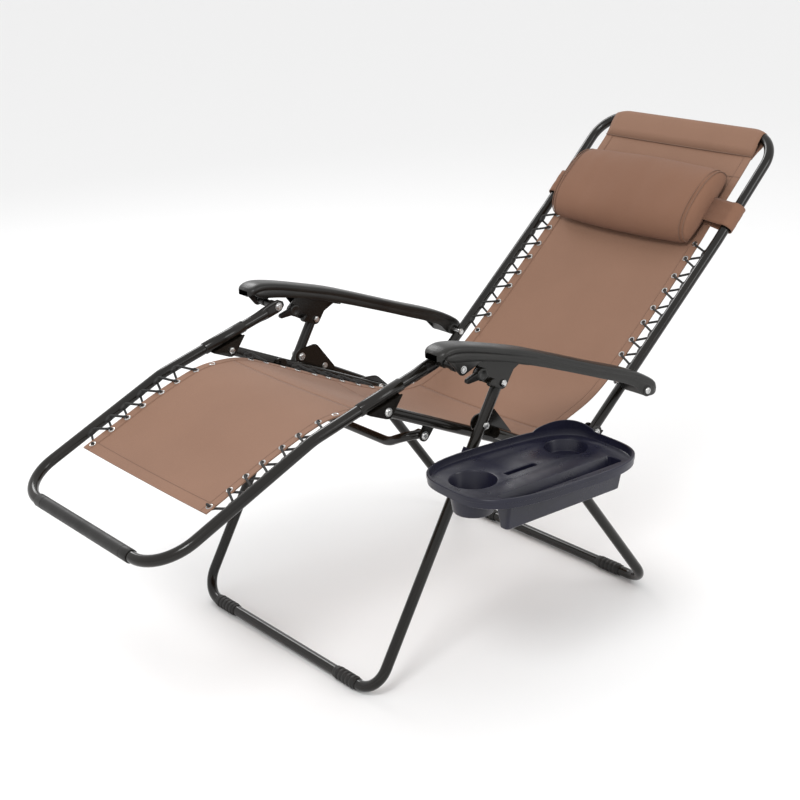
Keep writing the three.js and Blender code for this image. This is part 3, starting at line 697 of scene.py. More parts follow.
def foot_sleeves():
    """Ribbed grips on the two floor bars, flat where they stand."""
    for label, x, p, body in (
        ("front", 0.212, FLOOR_FRONT, "front_legs"), ("rear", 0.205, FLOOR_REAR, "rear_legs"),
    ):
        for side, s in SIDES:
            profile = [(s * x + dx, r) for dx, r in ribbed(0.035, 5, TUBE_R + 0.0014, TUBE_R + 0.0027)]
            verts, faces = lathe_x(profile, p, 40)
            verts = [Vector((v.x, v.y, max(v.z, 0.0))) for v in verts]
            node = label + "_foot_sleeve_" + side
            piece(node + "_ribs", (verts, faces), SLEEVE, body, [node])


def foot_bar_grip():
    profile = [(-0.172, TUBE_R), (-0.172, 0.0126), (-0.1712, 0.0132), (-0.15, 0.0132), (-0.1495, 0.0127),
               (-0.1465, 0.0127), (-0.146, 0.0132)]
    profile += [(-x, r) for x, r in reversed(profile)]
    piece("foot_bar_grip", lathe_x(profile, FOOT_BAR, 40), SLEEVE, "foot_frame", ["foot_bar_sleeve"])


# ---- Armrests: a crowned moulding over an open channel
# Side-view lines of its top and its underside, from the nose to the rear end.
ARM_TOP = [
    (0.001, 0.6690), (0.008, 0.6735), (0.022, 0.6790), (0.042, 0.6795), (0.080, 0.6725), (0.147, 0.6545),
    (0.225, 0.6315), (0.306, 0.602), (0.418, 0.5595), (0.52, 0.522), (0.565, 0.5), (0.588, 0.484), (0.5945, 0.473),
]
ARM_UNDER = [
    (0.001, 0.6670), (0.007, 0.6650), (0.018, 0.6560), (0.030, 0.6500), (0.072, 0.643), (0.147, 0.6265),
    (0.225, 0.602), (0.306, 0.573), (0.419, 0.530), (0.525, 0.4865), (0.552, 0.4605), (0.574, 0.4565),
    (0.588, 0.459), (0.5945, 0.466),
]


def height_at(curve, y):
    """z at y on a smooth curve through side-view points."""
    for i in range(len(curve) - 1):
        (y0, z0), (y1, z1) = curve[i], curve[i + 1]
        if y <= y1 or i == len(curve) - 2:
            t = min(max((y - y0) / (y1 - y0), 0.0), 1.0)

            def slope(k):
                a, b = curve[max(k - 1, 0)], curve[min(k + 1, len(curve) - 1)]
                return (b[1] - a[1]) / (b[0] - a[0])

            m0, m1 = slope(i) * (y1 - y0), slope(i + 1) * (y1 - y0)
            h = (2 * t ** 3 - 3 * t * t + 1) * z0 + (t ** 3 - 2 * t * t + t) * m0
            return h + (-2 * t ** 3 + 3 * t * t) * z1 + (t ** 3 - t * t) * m1
    return curve[-1][1]


def armrest_section(y):
    """The armrest's outline across x at y: crowned on top, with an open channel below."""
    first, last = ARM_TOP[0][0], ARM_TOP[-1][0]
    top, under = height_at(ARM_TOP, y), height_at(ARM_UNDER, y)
    nose = min(1.0, (y - first) / 0.02 + 0.35) if y < first + 0.02 else 1.0
    tail = min(1.0, (last - y) / 0.03 + 0.5) if y > last - 0.03 else 1.0
    half = ARM_HALF * math.sqrt(max(0.05, 1 - (1 - min(nose, tail)) ** 2 * 1.6))
    tall = top - under
    open_depth = max(0.0, min((y - first - 0.012) / 0.01, (last - 0.05 - y) / 0.012, 1.0)) * (tall - 0.008)
    roof = under + max(open_depth, 0.0004)
    wall = ARM_WALL
    side_points = [
        (half - 0.0008, under), (half, under + 0.001), (half, top - 0.0165), (half - 0.0009, top - 0.0155),
        (half - 0.0009, top - 0.0135), (half, top - 0.0125), (half + 0.0002, top - 0.007),
        (half - 0.0012, top - 0.0032), (half - 0.005, top - 0.0009), (half * 0.55, top + 0.0004),
    ]
    low = min(under + 0.003, top - 0.0125)
    side_points = [(w, max(z, low if i == 2 else under)) for i, (w, z) in enumerate(side_points)]
    left = [(-w, z) for w, z in reversed(side_points)]
    channel = [(-half + wall, under), (-half + wall, roof - 0.0004), (-half + wall + 0.001, roof),
               (half - wall - 0.001, roof), (half - wall, roof - 0.0004), (half - wall, under)]
    return side_points + [(0.0, top + 0.0008)] + left + channel


def armrest(side, s):
    first, last = ARM_TOP[0][0], ARM_TOP[-1][0]
    stations = [first + (last - first) * (0.5 - 0.5 * math.cos(math.pi * i / 56)) for i in range(57)]
    stations = sorted(stations + [first + 0.002, first + 0.005, last - 0.002, last - 0.005])
    shell = lofted([[at(s * ARM_X + w, (y, z)) for w, z in armrest_section(y)] for y in stations])
    outer = s * (ARM_X + ARM_HALF)
    ear_outline = hull([(ARM_FRONT, 0.012), ((0.026, 0.658), 0.006), ((0.102, 0.644), 0.006)])
    ear = side_plate(outer - s * 0.0038, outer - s * 0.0002, ear_outline)
    tube_face = FRAME_X + TUBE_R
    boss_profile = [(s * (tube_face + GAP), 0.0115), (s * (tube_face + 0.001), 0.012), (s * ARM_X, 0.012)]
    cap_profile = [(outer + s * dx, r) for dx, r in ((-0.002, 0.0125), (0.0008, 0.0125), (0.0012, 0.0118))]
    boss, cap = lathe_x(boss_profile, ARM_REAR), lathe_x(cap_profile, ARM_REAR)
    shape = join_parts(shell, ear, boss, cap)
    piece("armrest_shell_" + side, shape, PLASTIC, "armrest_" + side, ["armrest_" + side], smooth_angle=50)


def hull(circles, steps=24):
    """The side-view outline round some circles, each ((y, z), radius)."""
    points = sorted((p[0] + r * math.cos(2 * math.pi * i / steps), p[1] + r * math.sin(2 * math.pi * i / steps))
                    for p, r in circles for i in range(steps))

    def chain(items):
        out = []
        for p in items:
            while len(out) > 1 and ((out[-1][0] - out[-2][0]) * (p[1] - out[-2][1])
                                    - (out[-1][1] - out[-2][1]) * (p[0] - out[-2][0])) <= 1e-12:
                out.pop()
            out.append(p)
        return out[:-1]

    return chain(points) + chain(points[::-1])


def side_plate(x0, x1, outline, bevel=0.0006):
    """A plate with softened edges, its outline in the side view."""
    cy, cz = sum(p[0] for p in outline) / len(outline), sum(p[1] for p in outline) / len(outline)
    d = 1 if x1 > x0 else -1

    def ring(x, inset):
        out = []
        for p in outline:
            r = math.hypot(p[0] - cy, p[1] - cz)
            k = (r - inset) / r
            out.append(at(x, (cy + (p[0] - cy) * k, cz + (p[1] - cz) * k)))
        return out

    return lofted([ring(x0, bevel), ring(x0 + d * bevel, 0), ring(x1 - d * bevel, 0), ring(x1, bevel)])


def armrest_spacers():
    """A spool with two collars between the foot frame's arm and the armrest."""
    stub = ARM_X + ARM_HALF - ARM_WALL - PLATE - 0.004 - GAP
    start = FRAME_X + 0.004 + GAP
    collar = [(-0.006, 0.007), (-0.0058, 0.0088), (-0.0052, 0.009)]
    collar += [(-dx, r) for dx, r in reversed(collar)]
    for side, s in SIDES:
        profile = [(s * start, 0.0065), (s * (start + 0.0006), 0.007)]
        for t in (0.25, 0.75):
            x = start + (stub - start) * t
            profile += [(s * (x + dx), r) for dx, r in collar]
        profile += [(s * (stub - 0.0006), 0.007), (s * stub, 0.0065)]
        shape = lathe_x(profile, ARM_FRONT)
        piece("armrest_spacer_" + side, shape, PLASTIC, "foot_frame", ["armrest_front_spacer_" + side])


# ---- Slide locks
def slide_faces(s):
    """x of the outer faces of the two plates that clasp a front leg's top."""
    return s * LEG_X - TUBE_R - GAP - PLATE, s * LEG_X + TUBE_R + GAP + PLATE


def slide_plates(side, s):
    """Two plates joined by a runner in the armrest's channel, and the lump of the lock's thread."""
    slide = along(SLIDE_PIVOT, add2(SLIDE_PIVOT, unit2(ARM_FRONT, ARM_REAR)))
    low, high = slide_faces(s)
    wide = side_plate(low, low + PLATE, hull([
        (SLIDE_PIVOT, 0.014), (slide(-0.078, 0.046), 0.006), (slide(0.060, 0.046), 0.006),
    ]))
    lock = side_plate(high - PLATE, high, hull([
        (SLIDE_PIVOT, 0.012), (LOCK_AXIS, 0.012), (slide(-0.06, 0.046), 0.005), (slide(0.02, 0.046), 0.005),
    ]))
    bar = [slide(-0.084, 0.04), slide(0.06, 0.04), slide(0.06, 0.054), slide(-0.084, 0.054)]
    runner = side_plate(low + 0.0002, high - 0.0002, bar)
    lump_profile = ((-0.0005, 0.009), (0.007, 0.0085), (0.0088, 0.0075), (0.009, 0.006))
    lump = lathe_x([(high + dx, r) for dx, r in lump_profile], (0.140, 0.583), 28)
    shape = join_parts(wide, lock, runner, lump)
    piece("slide_plates_" + side, shape, STEEL, "slide_block_" + side, ["slide_block_" + side])


def lock_knob(side, s):
    _, high = slide_faces(s)
    drum = knurled(high + GAP, high + 0.015, LOCK_AXIS, 0.013, 18)
    grip_outline = hull([(LOCK_AXIS, 0.009), (add2(LOCK_AXIS, (-0.034, -0.006)), 0.005)])
    grip = side_plate(high + 0.004, high + 0.013, grip_outline, 0.0012)
    pin = lathe_x([(high - 0.0034, 0.004), (high + 0.001, 0.004)], LOCK_AXIS, 20)
    shape = join_parts(drum, grip, pin)
    piece("lock_knob_" + side, shape, PLASTIC, "lock_lever_" + side, ["lock_lever_" + side], smooth_angle=50)


def knurled(x0, x1, centre, radius, teeth):
    """A knob with shallow flutes round its rim and a dished face."""
    sides = teeth * 4
    profile = [(0.0, 0.93), (0.06, 1.0), (0.85, 1.0), (0.95, 0.95), (1.0, 0.85), (1.0, 0.6), (0.93, 0.5)]
    rings = []
    for t, k in profile:
        ring = []
        for i in range(sides):
            a = 2 * math.pi * i / sides
            flute = 0.955 if i % 4 in (0, 1) and k > 0.9 else 1.0
            r = radius * k * flute
            ring.append(at(x0 + (x1 - x0) * t, (centre[0] + r * math.cos(a), centre[1] + r * math.sin(a))))
        rings.append(ring)
    return lofted(rings)


# ---- Slings
SLING_T = 0.0014
CORD_R = 0.0025
EYELET_IN = 0.0105  # from the sling's edge to an eyelet's centre
# Side-view line of the sling from its front hem to its top bar: (point, half width, sag at the middle).
SLING_LINE = [
    (on_calf(0.140, 0.001), 0.222, 0.003), (on_calf(0.180, 0.0), 0.222, 0.007),
    (on_calf(0.250, -0.001), 0.221, 0.010), (on_calf(0.320, -0.003), 0.221, 0.009),
    ((-0.190, 0.5555), 0.220, 0.007), ((-0.130, 0.5605), 0.220, 0.004), ((-0.077, 0.5545), 0.221, 0.003),
    (on_rail(0.060, -0.005), 0.221, 0.006), (on_rail(0.130, -0.004), 0.222, 0.010),
    (on_rail(0.250, -0.003), 0.222, 0.014), (on_rail(0.360, 0.000), 0.222, 0.014),
    (on_rail(0.440, 0.010), 0.221, 0.010), (on_rail(0.500, 0.032), 0.220, 0.006),
    (on_back(0.065, 0.036), 0.220, 0.005), (on_back(0.130, 0.012), 0.221, 0.008),
    (on_back(0.200, 0.002), 0.222, 0.011), (on_back(0.320, -0.002), 0.222, 0.013),
    (on_back(0.450, -0.002), 0.222, 0.011), (on_back(0.560, 0.000), 0.222, 0.008),
    (on_head(0.060, 0.001), 0.221, 0.006), (on_head(0.150, 0.001), 0.221, 0.004),
    (on_head(HEAD_LENGTH - 0.062, 0.002), 0.220, 0.002),
    (on_head(HEAD_LENGTH - 0.030, 0.0065), 0.219, 0.001),
]


def sling_stations():
    """Evenly spaced stations down the sling: (side point, normal, half width, sag, length so far)."""
    line = [Vector((p[0], p[1], half, sag)) for p, half, sag in SLING_LINE]
    dense = smooth_path(line, 24)
    out, run, next_at, step = [], 0.0, 0.0, 0.008
    for a, b in zip(dense, dense[1:]):
        length = math.hypot(b[0] - a[0], b[1] - a[1])
        while next_at <= run + length:
            t = (next_at - run) / length
            q = a.lerp(b, t)
            d = unit2((a[0], a[1]), (b[0], b[1]))
            out.append(((q[0], q[1]), (-d[1], d[0]), q[2], q[3], next_at))
            next_at += step
        run += length
    return out


STATIONS = sling_stations()


def station_near(p):
    """Index of the station nearest to a side-view point."""
    return min(range(len(STATIONS)), key=lambda i: dist2(STATIONS[i][0], p))


CUTS = {
    "knee": station_near((-0.100, 0.5585)),
    "seat": station_near(on_rail(0.250)),
    "corner": station_near(on_back(0.0, 0.05)),
}


def sling_point(i, x, lift=0.0):
    p, n, half, sag, _ = STATIONS[i]
    share = min(abs(x) / half, 1.0)
    drop = sag * (1 - share ** 2.4)
    return at(x, add2(p, n, lift - drop))


def sling_piece(name, first, last, replaces, columns=44):
    verts, uv = [], []
    for i in range(first, last + 1):
        half = STATIONS[i][2]
        for k in range(columns + 1):
            x = half * (2 * k / columns - 1)
            verts.append(sling_point(i, x))
            uv.append((x, STATIONS[i][4]))
    obj = new_object(name, verts, grid_faces(last - first, columns))
    mesh = obj.data
    mesh.materials.append(FABRIC)
    layer = mesh.uv_layers.new(name="UVMap")
    for loop in mesh.loops:
        layer.data[loop.index].uv = uv[loop.vertex_index]
    mesh.shade_smooth()
    thicken(obj, SLING_T)
    finish_piece(obj, None, replaces)
    return obj


def blend_line(a, b):
    """Start and end of a bend between two side-view points."""
    return {"start": tuple(at(0, a)), "end": tuple(at(0, b))}


# Where each stretch turns from its frame's body to the bolt body at the joint.
TURNS = {
    "calf": ("foot_frame", "knee_bolts", blend_line((-0.215, 0.553), (-0.105, 0.5585))),
    "seat_front": ("knee_bolts", "seat_frame", blend_line((-0.095, 0.5585), on_rail(0.09))),
    "seat_rear": ("seat_frame", "back_bolts", blend_line(on_rail(0.44), on_rail(0.53))),
    "back": ("back_bolts", "back_frame", blend_line(on_back(0.03), on_back(0.16))),
}


def attach(obj):
    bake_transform(obj)


def strip_over(name, first, last, x0, x1, lift, material):
    """A narrow band that lies on the sling between two x values, such as a hem."""
    verts, faces, uv = [], [], []
    for i in range(first, last + 1):
        for k, x in enumerate((x0, x1)):
            edge = math.copysign(min(abs(x), STATIONS[i][2] + 0.0004), x)
            for side in (-1, 1):
                verts.append(sling_point(i, edge, side * lift))
                uv.append((edge, STATIONS[i][4]))
    for i in range(last - first):
        a, b = i * 4, i * 4 + 4
        for u, w in ((0, 1), (1, 3), (3, 2), (2, 0)):
            faces.append((a + u, a + w, b + w, b + u))
    faces += [(0, 2, 3, 1), tuple(len(verts) - 4 + k for k in (0, 1, 3, 2))]
    attach(piece(name, (verts, faces), material, uvs=by_place(verts, uv)))


def eyelet(centre, normal, across, rings=20, sides=8):
    """A plated ring with a rolled rim, on both faces of the cloth."""
    verts, faces = [], []
    third = normal.cross(across)
    for i in range(rings):
        a = 2 * math.pi * i / rings
        out = across * math.cos(a) + third * math.sin(a)
        for k in range(sides):
            b = 2 * math.pi * k / sides
            verts.append(centre + out * (0.0056 + 0.0017 * math.cos(b)) + normal * (0.0016 * math.sin(b)))
            j, m = (k + 1) % sides, (i + 1) % rings
            faces.append((i * sides + k, i * sides + j, m * sides + j, m * sides + k))
    return verts, faces


def eyelet_stations(pitch, count, start):
    """Station indices for a row of eyelets, from a length down the sling."""
    return [min(range(len(STATIONS)), key=lambda i, n=n: abs(STATIONS[i][4] - start - n * pitch))
            for n in range(count)]


def lace(name, s, eyelets, on_tube, base, body, replaces):
    """The cord: up through an eyelet, to a cleat on the tube's inner side, and under the cloth to the next."""
    inner = FRAME_X - TUBE_R - CORD_R * 0.55
    points, cleats = [], []
    for a, b in zip(eyelets[::-1], eyelets[::-1][1:]):
        (pa, na, ha, _, _), (pb, nb, hb, _, _) = STATIONS[a], STATIONS[b]
        da, db = base(pa), base(pb)
        xa, xb = s * (ha - EYELET_IN), s * (hb - EYELET_IN)
        points += [at(xa, add2(pa, na, -0.0035)), at(xa + s * 0.0015, add2(pa, na, 0.0036)),
                   at(xa + s * 0.0075, add2(lerp2(pa, pb, 0.12), na, 0.0047))]
        for t, dx, up in ((0.40, 0.0, 0.0045), (0.50, 0.0016, 0.0), (0.60, 0.0, -0.0045)):
            points.append(at(s * (inner + dx), on_tube(da + (db - da) * t, up)))
        points += [at(xb + s * 0.0085, add2(lerp2(pa, pb, 0.9), nb, -0.0047)),
                   at(xb + s * 0.0015, add2(pb, nb, -0.0045))]
        cleats.append(cleat(s, on_tube, da + (db - da) * 0.5))
    p, n, half, _, _ = STATIONS[eyelets[0]]
    x_end = half - EYELET_IN
    points += [at(s * x_end, add2(p, n, 0.003)), at(s * (x_end - 0.006), add2(p, n, 0.0042))]
    piece(name, sweep(smooth_path(points, 4), CORD_R, 10), CORD, body, replaces)
    piece(name + "_cleats", join_parts(*cleats), SLEEVE, body)


def cleat(s, on_tube, d):
    """A low plastic button on the tube's inner side that holds the cord."""
    turns = [2 * math.pi * k / 20 for k in range(20)]
    steps = ((-0.003, 0.0135, 0.0065), (0.0012, 0.0125, 0.006), (0.0032, 0.0095, 0.0048), (0.0042, 0.005, 0.003))
    return lofted([[at(s * (FRAME_X - TUBE_R - reach), on_tube(d + length * math.cos(a), tall * math.sin(a)))
                    for a in turns] for reach, length, tall in steps])


def slings():
    stretches = (
        ("calf", "sling_calf_cloth", 0, CUTS["knee"], ["sling_calf"]),
        ("seat_front", "sling_seat_front", CUTS["knee"], CUTS["seat"], ["sling_seat"]),
        ("seat_rear", "sling_seat_rear", CUTS["seat"], CUTS["corner"], []),
        ("back", "sling_back_cloth", CUTS["corner"], len(STATIONS) - 1, ["sling_back"]),
    )
    for stretch, name, first, last, replaces in stretches:
        attach(sling_piece(name, first, last, replaces))
        half = STATIONS[first][2]
        for side, s in SIDES:
            strip_over(name + "_hem_" + side, first, last, s, s * (half - 0.021), 0.0013, FABRIC)
            strip_over(name + "_seam_" + side, first, last, s * (half - 0.0195), s * (half - 0.0185),
                       0.0017, THREAD)
    strip_rows("sling_front_hem", 0, 3, 0.0013, FABRIC)
    strip_rows("sling_front_seam", 3, 3, 0.0017, THREAD, 0.0011)


def stretch_of(i):
    """The stretch of cloth that a station is on."""
    return ("calf" if i < CUTS["knee"] else "seat_front" if i < CUTS["seat"] else
            "seat_rear" if i < CUTS["corner"] else "back")


def eyelets(rows):
    """Plated eyelets down both edges, one object for each row and stretch."""
    for label, indices in rows.items():
        for key in dict.fromkeys(stretch_of(i) for i in indices):
            parts = []
            for i in indices:
                if stretch_of(i) == key:
                    p, n, half, _, _ = STATIONS[i]
                    parts += [eyelet(at(s * (half - EYELET_IN), p), Vector((0, n[0], n[1])), Vector((1, 0, 0)))
                              for _, s in SIDES]
            attach(piece("eyelets_" + label + "_" + key, join_parts(*parts), BRIGHT))


def lacing():
    def length_at(p):
        return STATIONS[station_near(p)][4]

    rows = {
        "calf": eyelet_stations(0.0432, 8, 0.018),
        "seat": eyelet_stations(0.0432, 9, length_at(on_rail(0.03))),
        "back": eyelet_stations(0.0444, 9, length_at(on_back(0.206))),
    }
    low = project_on(FOOT_BAR, CALF_BEND)
    knee = project_on(CALF_BEND, ARM_FRONT)
    rail = project_on(KNEE_PIVOT, BACK_PIVOT)
    back = project_on(BACK_PIVOT, HEAD_BEND)

    def calf(p):
        return low(p) if p[0] < CALF_BEND[0] else CALF_LENGTH + knee(p)

    for side, s in SIDES:
        lace("lace_calf_" + side, s, rows["calf"][:-1], on_calf, calf, "foot_frame", ["lacing_calf_" + side])
        lace("lace_seat_front_" + side, s, rows["seat"][:2], on_rail, rail, "seat_frame", [])
        lace("lace_seat_" + side, s, rows["seat"][3:], on_rail, rail, "seat_frame", ["lacing_seat_" + side])
        lace("lace_back_" + side, s, rows["back"], on_back, back, "back_frame", ["lacing_back_" + side])
    eyelets(rows)


def strip_rows(name, first, last, lift, material, width=None):
    """A band across the sling, such as a front hem or a row of stitching."""
    verts, faces, uv = [], [], []
    columns = 44
    rows = list(range(first, last + 1)) if width is None else [first, first]
    for j, i in enumerate(rows):
        p, n, half, _, run = STATIONS[i]
        shift = 0.0 if width is None else (j - 0.5) * width
        d = Vector((0, n[1], -n[0]))
        for k in range(columns + 1):
            x = half * (2 * k / columns - 1)
            for side in (-1, 1):
                verts.append(sling_point(i, x, side * lift) + d * shift)
                uv.append((x, run + shift))
    row = (columns + 1) * 2
    for j in range(len(rows) - 1):
        for k in range(columns):
            a = j * row + k * 2
            faces.append((a + 1, a + 3, a + row + 3, a + row + 1))
            faces.append((a, a + row, a + row + 2, a + 2))
        for k in (0, columns):
            a = j * row + k * 2
            faces.append((a, a + 1, a + row + 1, a + row) if k == 0 else (a, a + row, a + row + 1, a + 1))
    for j in (0, len(rows) - 1):
        for k in range(columns):
            a = j * row + k * 2
            faces.append((a, a + 2, a + 3, a + 1) if j == 0 else (a, a + 1, a + 3, a + 2))
    attach(piece(name, (verts, faces), material, uvs=by_place(verts, uv)))


def top_pocket():
    """The sling's end folds over the top bar and is sewn back down behind itself."""
    half = 0.221
    bend = 0.075  # the fold falls away over the bar's bends
    d_head = unit2(HEAD_BEND, TOP_BAR)
    n_head = (-d_head[1], d_head[0])
    radius = TUBE_R + 0.0012
    turns = [math.radians(100 - 200 * i / 12) for i in range(13)]
    front = ((-0.062, 0.0032), (-0.04, 0.0068), (-0.02, 0.0108))
    rear = ((-0.02, -0.0092), (-0.04, -0.0045), (-0.062, -0.0008), (-0.066, -0.0008))
    line = [on_head(HEAD_LENGTH + d, up) for d, up in front]
    line += [add2(add2(TOP_BAR, d_head, radius * math.cos(a)), n_head, radius * math.sin(a)) for a in turns]
    line += [on_head(HEAD_LENGTH + d, up) for d, up in rear]
    columns = 40
    verts, uv, run = [], [], 0.0
    for i, p in enumerate(line):
        run += dist2(line[i - 1], p) if i else 0.0
        for k in range(columns + 1):
            x = half * (2 * k / columns - 1)
            over = max(0.0, abs(x) - (FRAME_X - bend))
            fall = bend - math.sqrt(bend ** 2 - over ** 2)
            near = max(0.0, 1 - dist2(p, TOP_BAR) / 0.05)
            verts.append(at(x, add2(p, d_head, -fall * min(1.0, near * 1.6))))
            uv.append((x, run))
    faces = grid_faces(len(line) - 1, columns)
    obj = piece("top_pocket", (verts, faces), FABRIC, "back_frame", uvs=by_place(verts, uv))
    thicken(obj, SLING_T)
    for k, (below, lift) in enumerate(((0.060, 0.0042), (0.118, 0.0017))):
        i = station_near(on_head(HEAD_LENGTH - below, 0))
        strip_rows("pocket_seam_" + str(k), i, i, lift, THREAD, 0.0016)


# ---- Head pillow
PILLOW_AT = 0.064
PILLOW_HALF = 0.200
PILLOW_LIFT = 0.007
PILLOW_STEPS = 40


def pillow_ring(squeeze):
    """The pillow's outline in the side view: a D lying on the sling."""
    out = []
    for i in range(PILLOW_STEPS):
        a = 2 * math.pi * i / PILLOW_STEPS
        c, q = math.cos(a), math.sin(a)
        d = PILLOW_AT + math.copysign(abs(c) ** 0.85, c) * 0.100 * squeeze
        if q >= 0:
            up = PILLOW_LIFT + 0.014 + 0.050 * abs(q) ** 0.9 * squeeze
        else:
            up = PILLOW_LIFT + 0.014 - 0.0135 * abs(q) ** 0.5
        out.append((d, up))
    return out


def pillow_uv(co):
    return co.x, (co - at(co.x - ORIGIN.x, HEAD_BEND)).length + co.z * 0.35


def pillow():
    columns, steps = 64, PILLOW_STEPS
    verts = []
    for k in range(columns + 1):
        x = PILLOW_HALF * (2 * k / columns - 1)
        edge = PILLOW_HALF - abs(x)
        squeeze = 1 - 0.06 * (abs(x) / PILLOW_HALF) ** 2 - 0.035 * math.exp(-(edge / 0.006) ** 2)
        squeeze -= 0.012 * math.exp(-((edge - 0.008) / 0.004) ** 2)
        for d, up in pillow_ring(squeeze):
            ripple = noise.noise(Vector((x * 9, d * 14, up * 14))) * 0.0035 * min(1.0, up / 0.03)
            ripple += noise.noise(Vector((x * 30, d * 8, up * 8 + 5))) * 0.0012
            verts.append(at(x, on_head(d, max(up + ripple, PILLOW_LIFT * 0.4))))
    faces = ring_faces(columns + 1, steps, closed_ends=False)
    # Domed ends, from the last outline inwards.
    for end_row, s in ((0, -1), (columns, 1)):
        centre_d, centre_up = PILLOW_AT, PILLOW_LIFT + 0.026
        previous = [end_row * steps + i for i in range(steps)]
        for t, bulge in ((0.94, 0.003), (0.8, 0.007), (0.5, 0.0105), (0.2, 0.012)):
            current = [len(verts) + i for i in range(steps)]
            for d, up in pillow_ring(0.905):
                q = on_head(centre_d + (d - centre_d) * t, centre_up + (up - centre_up) * t)
                verts.append(at(s * (PILLOW_HALF + bulge), q))
            for i in range(steps):
                j = (i + 1) % steps
                faces.append((previous[i], previous[j], current[j], current[i]))
            previous = current
        faces.append(tuple(previous))
    obj = piece("pillow_bolster", (verts, faces), PADDING, "head_pillow", ["head_pillow"], smooth_angle=80)
    set_uvs(obj.data, pillow_uv)


def pillow_piping():
    """Piping round each end seam of the pillow, and a thinner row of stitches beside it."""
    rows = (("outer", PILLOW_HALF + 0.0008, 0.0011, 0.91), ("inner", PILLOW_HALF - 0.0085, 0.0009, 0.932))
    for side, s in SIDES:
        for label, x, r, scale in rows:
            ring = [at(s * x, on_head(d, up + 0.0012)) for d, up in pillow_ring(scale)]
            seam = sweep(smooth_path(ring + [ring[0]], 2), r, 6, closed_ends=False)
            obj = piece("pillow_piping_" + label + "_" + side, seam, THREAD, "head_pillow")
            set_uvs(obj.data, pillow_uv)


def straps():
    """A cloth band from each end of the pillow round the side tube and back."""
    width, radius, columns = 0.030, 0.0165, 8
    turns = [math.radians(118 - 236 * i / 14) for i in range(15)]
    line = [(PILLOW_HALF - 0.004, 0.026)]
    line += [(FRAME_X + radius * math.cos(a), radius * math.sin(a)) for a in turns]
    line += [(PILLOW_HALF - 0.004, 0.0095)]
    for side, s in SIDES:
        run, verts, uv = 0.0, [], []
        for i, (x, up) in enumerate(line):
            run += dist2(line[i - 1], (x, up)) if i else 0
            for k in range(columns + 1):
                d = PILLOW_AT + width * (2 * k / columns - 1)
                wave = 0.0006 * math.sin(k * 1.9 + i * 0.7)
                verts.append(at(s * x, on_head(d, up + wave)))
                uv.append((d, run))
        shape = verts, grid_faces(len(line) - 1, columns)
        obj = piece("pillow_band_" + side, shape, PADDING, "head_pillow", ["pillow_strap_" + side],
                    uvs=by_place(verts, uv))
        thicken(obj, 0.0018)


# ---- Tray
TRAY_TOP = 0.472
TRAY_CENTRE = (0.467, 0.106)
TRAY_HALF = (0.125, 0.198)
TRAY_TURN = math.radians(3.5)
CUP_AT = (0.432, -0.008)
BOTTLE_AT = (0.430, 0.232)
BOOK_X = 0.535
PHONE_X = 0.452


def tray_ring(inset, z, n=128, power=0.6):
    out = []
    for i in range(n):
        a = 2 * math.pi * i / n
        c, q = math.cos(a), math.sin(a)
        w = math.copysign(abs(c) ** power, c) * (TRAY_HALF[0] - inset)
        u = math.copysign(abs(q) ** power, q) * (TRAY_HALF[1] - inset)
        x = TRAY_CENTRE[0] + w * math.cos(TRAY_TURN) + u * math.sin(TRAY_TURN)
        y = TRAY_CENTRE[1] - w * math.sin(TRAY_TURN) + u * math.cos(TRAY_TURN)
        out.append(ORIGIN + Vector((x, y, z)))
    return out


def turned(p, profile, n=64):
    """A solid of revolution about a vertical axis: profile is (radius, z) from the bottom up."""
    turns = [2 * math.pi * k / n for k in range(n)]
    return lofted([[ORIGIN + Vector((p[0] + r * math.cos(a), p[1] + r * math.sin(a), z)) for a in turns]
                   for r, z in profile])


def trough(x, y0, y1, profile, corner=0.006, n=6):
    """A long slot's body: rounded rectangles of half width w at height z, from the bottom up."""
    rings = []
    for half, z, grow in profile:
        c = min(corner, half * 0.95)
        ring = []
        for cx, cy, start in (
            (half - c, y1 + grow - c, 0), (-half + c, y1 + grow - c, 90),
            (-half + c, y0 - grow + c, 180), (half - c, y0 - grow + c, 270),
        ):
            for k in range(n + 1):
                a = math.radians(start + 90 * k / n)
                ring.append(ORIGIN + Vector((x + cx + c * math.cos(a), cy + c * math.sin(a), z)))
        rings.append(ring)
    return lofted(rings)


def boolean(target, tool, operation):
    modifier = target.modifiers.new("cut", "BOOLEAN")
    modifier.operation = operation
    modifier.solver = "EXACT"
    modifier.object = tool
    bpy.context.view_layer.update()
    evaluated = target.evaluated_get(bpy.context.evaluated_depsgraph_get())
    mesh = bpy.data.meshes.new_from_object(evaluated)
    target.modifiers.remove(modifier)
    target.data = mesh
    bpy.data.objects.remove(tool)


def rough_solid(name, shape):
    """An object from (verts, faces) with its normals outwards, for boolean work."""
    obj = new_object(name, *shape)
    work = bmesh.new()
    work.from_mesh(obj.data)
    bmesh.ops.recalc_face_normals(work, faces=work.faces)
    work.to_mesh(obj.data)
    work.free()
    return obj


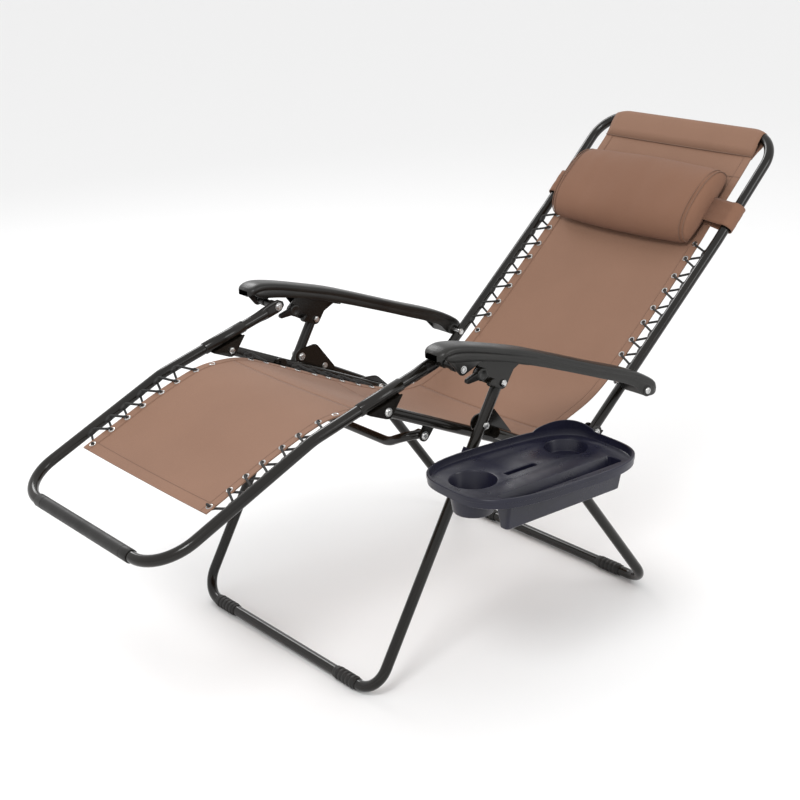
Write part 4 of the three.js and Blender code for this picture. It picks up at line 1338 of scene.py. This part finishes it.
def tray():
    """One moulding: a rim, two wells and two slots joined to it, and all of them hollowed out."""
    top, floor = TRAY_TOP, TRAY_TOP - 0.014

    def below(profile):
        """Turns (size, depth under the top, ...) into (size, z, ...)."""
        return [(size, top - depth, *more) for size, depth, *more in profile]

    body = rough_solid("tray_moulding", lofted([tray_ring(inset, top - depth) for inset, depth in (
        (0.012, 0.020), (0.004, 0.0195), (0.0015, 0.018), (0.0008, 0.008), (0.0, 0.0075), (0.0, 0.0015),
        (0.001, 0.0003), (0.0025, 0.0),
    )]))
    wells = (
        turned(CUP_AT, below([(0.034, 0.076), (0.0365, 0.075), (0.0385, 0.072), (0.047, 0.017), (0.047, 0.015)])),
        turned(BOTTLE_AT, below([(0.036, 0.040), (0.039, 0.0385), (0.040, 0.036), (0.0448, 0.015)])),
        trough(BOOK_X, -0.032, 0.262, below([(0.008, 0.073, -0.006), (0.010, 0.071, -0.003), (0.021, 0.015, 0)])),
        trough(PHONE_X, 0.050, 0.132, below([(0.007, 0.040, -0.002), (0.009, 0.038, 0), (0.010, 0.015, 0)]),
               0.004),
    )
    for shape in wells:
        boolean(body, rough_solid("tool", shape), "UNION")
    voids = (
        lofted([tray_ring(inset, z) for inset, z in (
            (0.0085, floor), (0.0065, floor + 0.0012), (0.0055, floor + 0.004), (0.0045, top + 0.004),
        )]),
        turned(CUP_AT, below([(0.032, 0.073), (0.0345, 0.0723), (0.0361, 0.0700), (0.0440, 0.0165),
                              (0.0452, 0.0145), (0.0475, 0.0135)])),
        turned(BOTTLE_AT, below([(0.0345, 0.037), (0.0368, 0.0362), (0.0376, 0.0345), (0.0415, 0.0165),
                                 (0.0425, 0.0145), (0.0445, 0.0135)])),
        trough(BOOK_X, -0.028, 0.258, below([(0.007, 0.069, -0.003), (0.0178, 0.0155, 0),
                                             (0.0195, 0.0135, 0.0015)])),
        trough(PHONE_X, 0.053, 0.129, below([(0.0062, 0.037, 0), (0.007, 0.0155, 0), (0.0085, 0.0135, 0.0015)]),
               0.004),
    )
    for shape in voids:
        boolean(body, rough_solid("tool", shape), "DIFFERENCE")
    body.data.materials.clear()
    body.data.materials.append(TRAY)
    body.data.shade_smooth()
    sharpen(body.data, 32)
    finish_piece(body, "tray", ["tray"])
    carry("tray_clip", TRAY, 0.0012)


def tray_lip():
    """The raised lip along the tray's inner rear edge."""
    rings_out, rings_in = tray_ring(0.0012, 0.0), tray_ring(0.0048, 0.0)
    n = len(rings_out)
    picked = [i for i in range(n) if 0.27 * n < i < 0.45 * n]
    z0 = TRAY_TOP - 0.004
    sections = []
    for j, i in enumerate(picked):
        rise = 0.017 * max(0.0, math.sin(math.pi * j / (len(picked) - 1))) ** 0.6
        a, b = rings_out[i], rings_in[i]
        z1 = TRAY_TOP + rise
        outline = ((a, z0), (a, z1 - 0.0006), (a.lerp(b, 0.3), z1),
                   (a.lerp(b, 0.7), z1), (b, z1 - 0.0006), (b, z0))
        sections.append([Vector((p.x, p.y, z + ORIGIN.z)) for p, z in outline])
    piece("tray_back_lip", lofted(sections), TRAY, "tray")


# ---- Build
CARRIED = ("rear_leg_bracket_", "knee_gusset_", "seat_hanger_", "cross_bar_bracket_", "back_clevis_")
leg_tubes()
foot_frame_tube()
seat_rails()
back_frame_tube()
knee_sleeves()
cross_bar()
pivot_bolts()
fixing_screws()
foot_sleeves()
foot_bar_grip()
armrest_spacers()
for side, s in SIDES:
    armrest(side, s)
    slide_plates(side, s)
    lock_knob(side, s)
    for node in CARRIED:
        carry(node + side, STEEL)
slings()
lacing()
top_pocket()
pillow()
pillow_piping()
straps()
tray()
tray_lip()
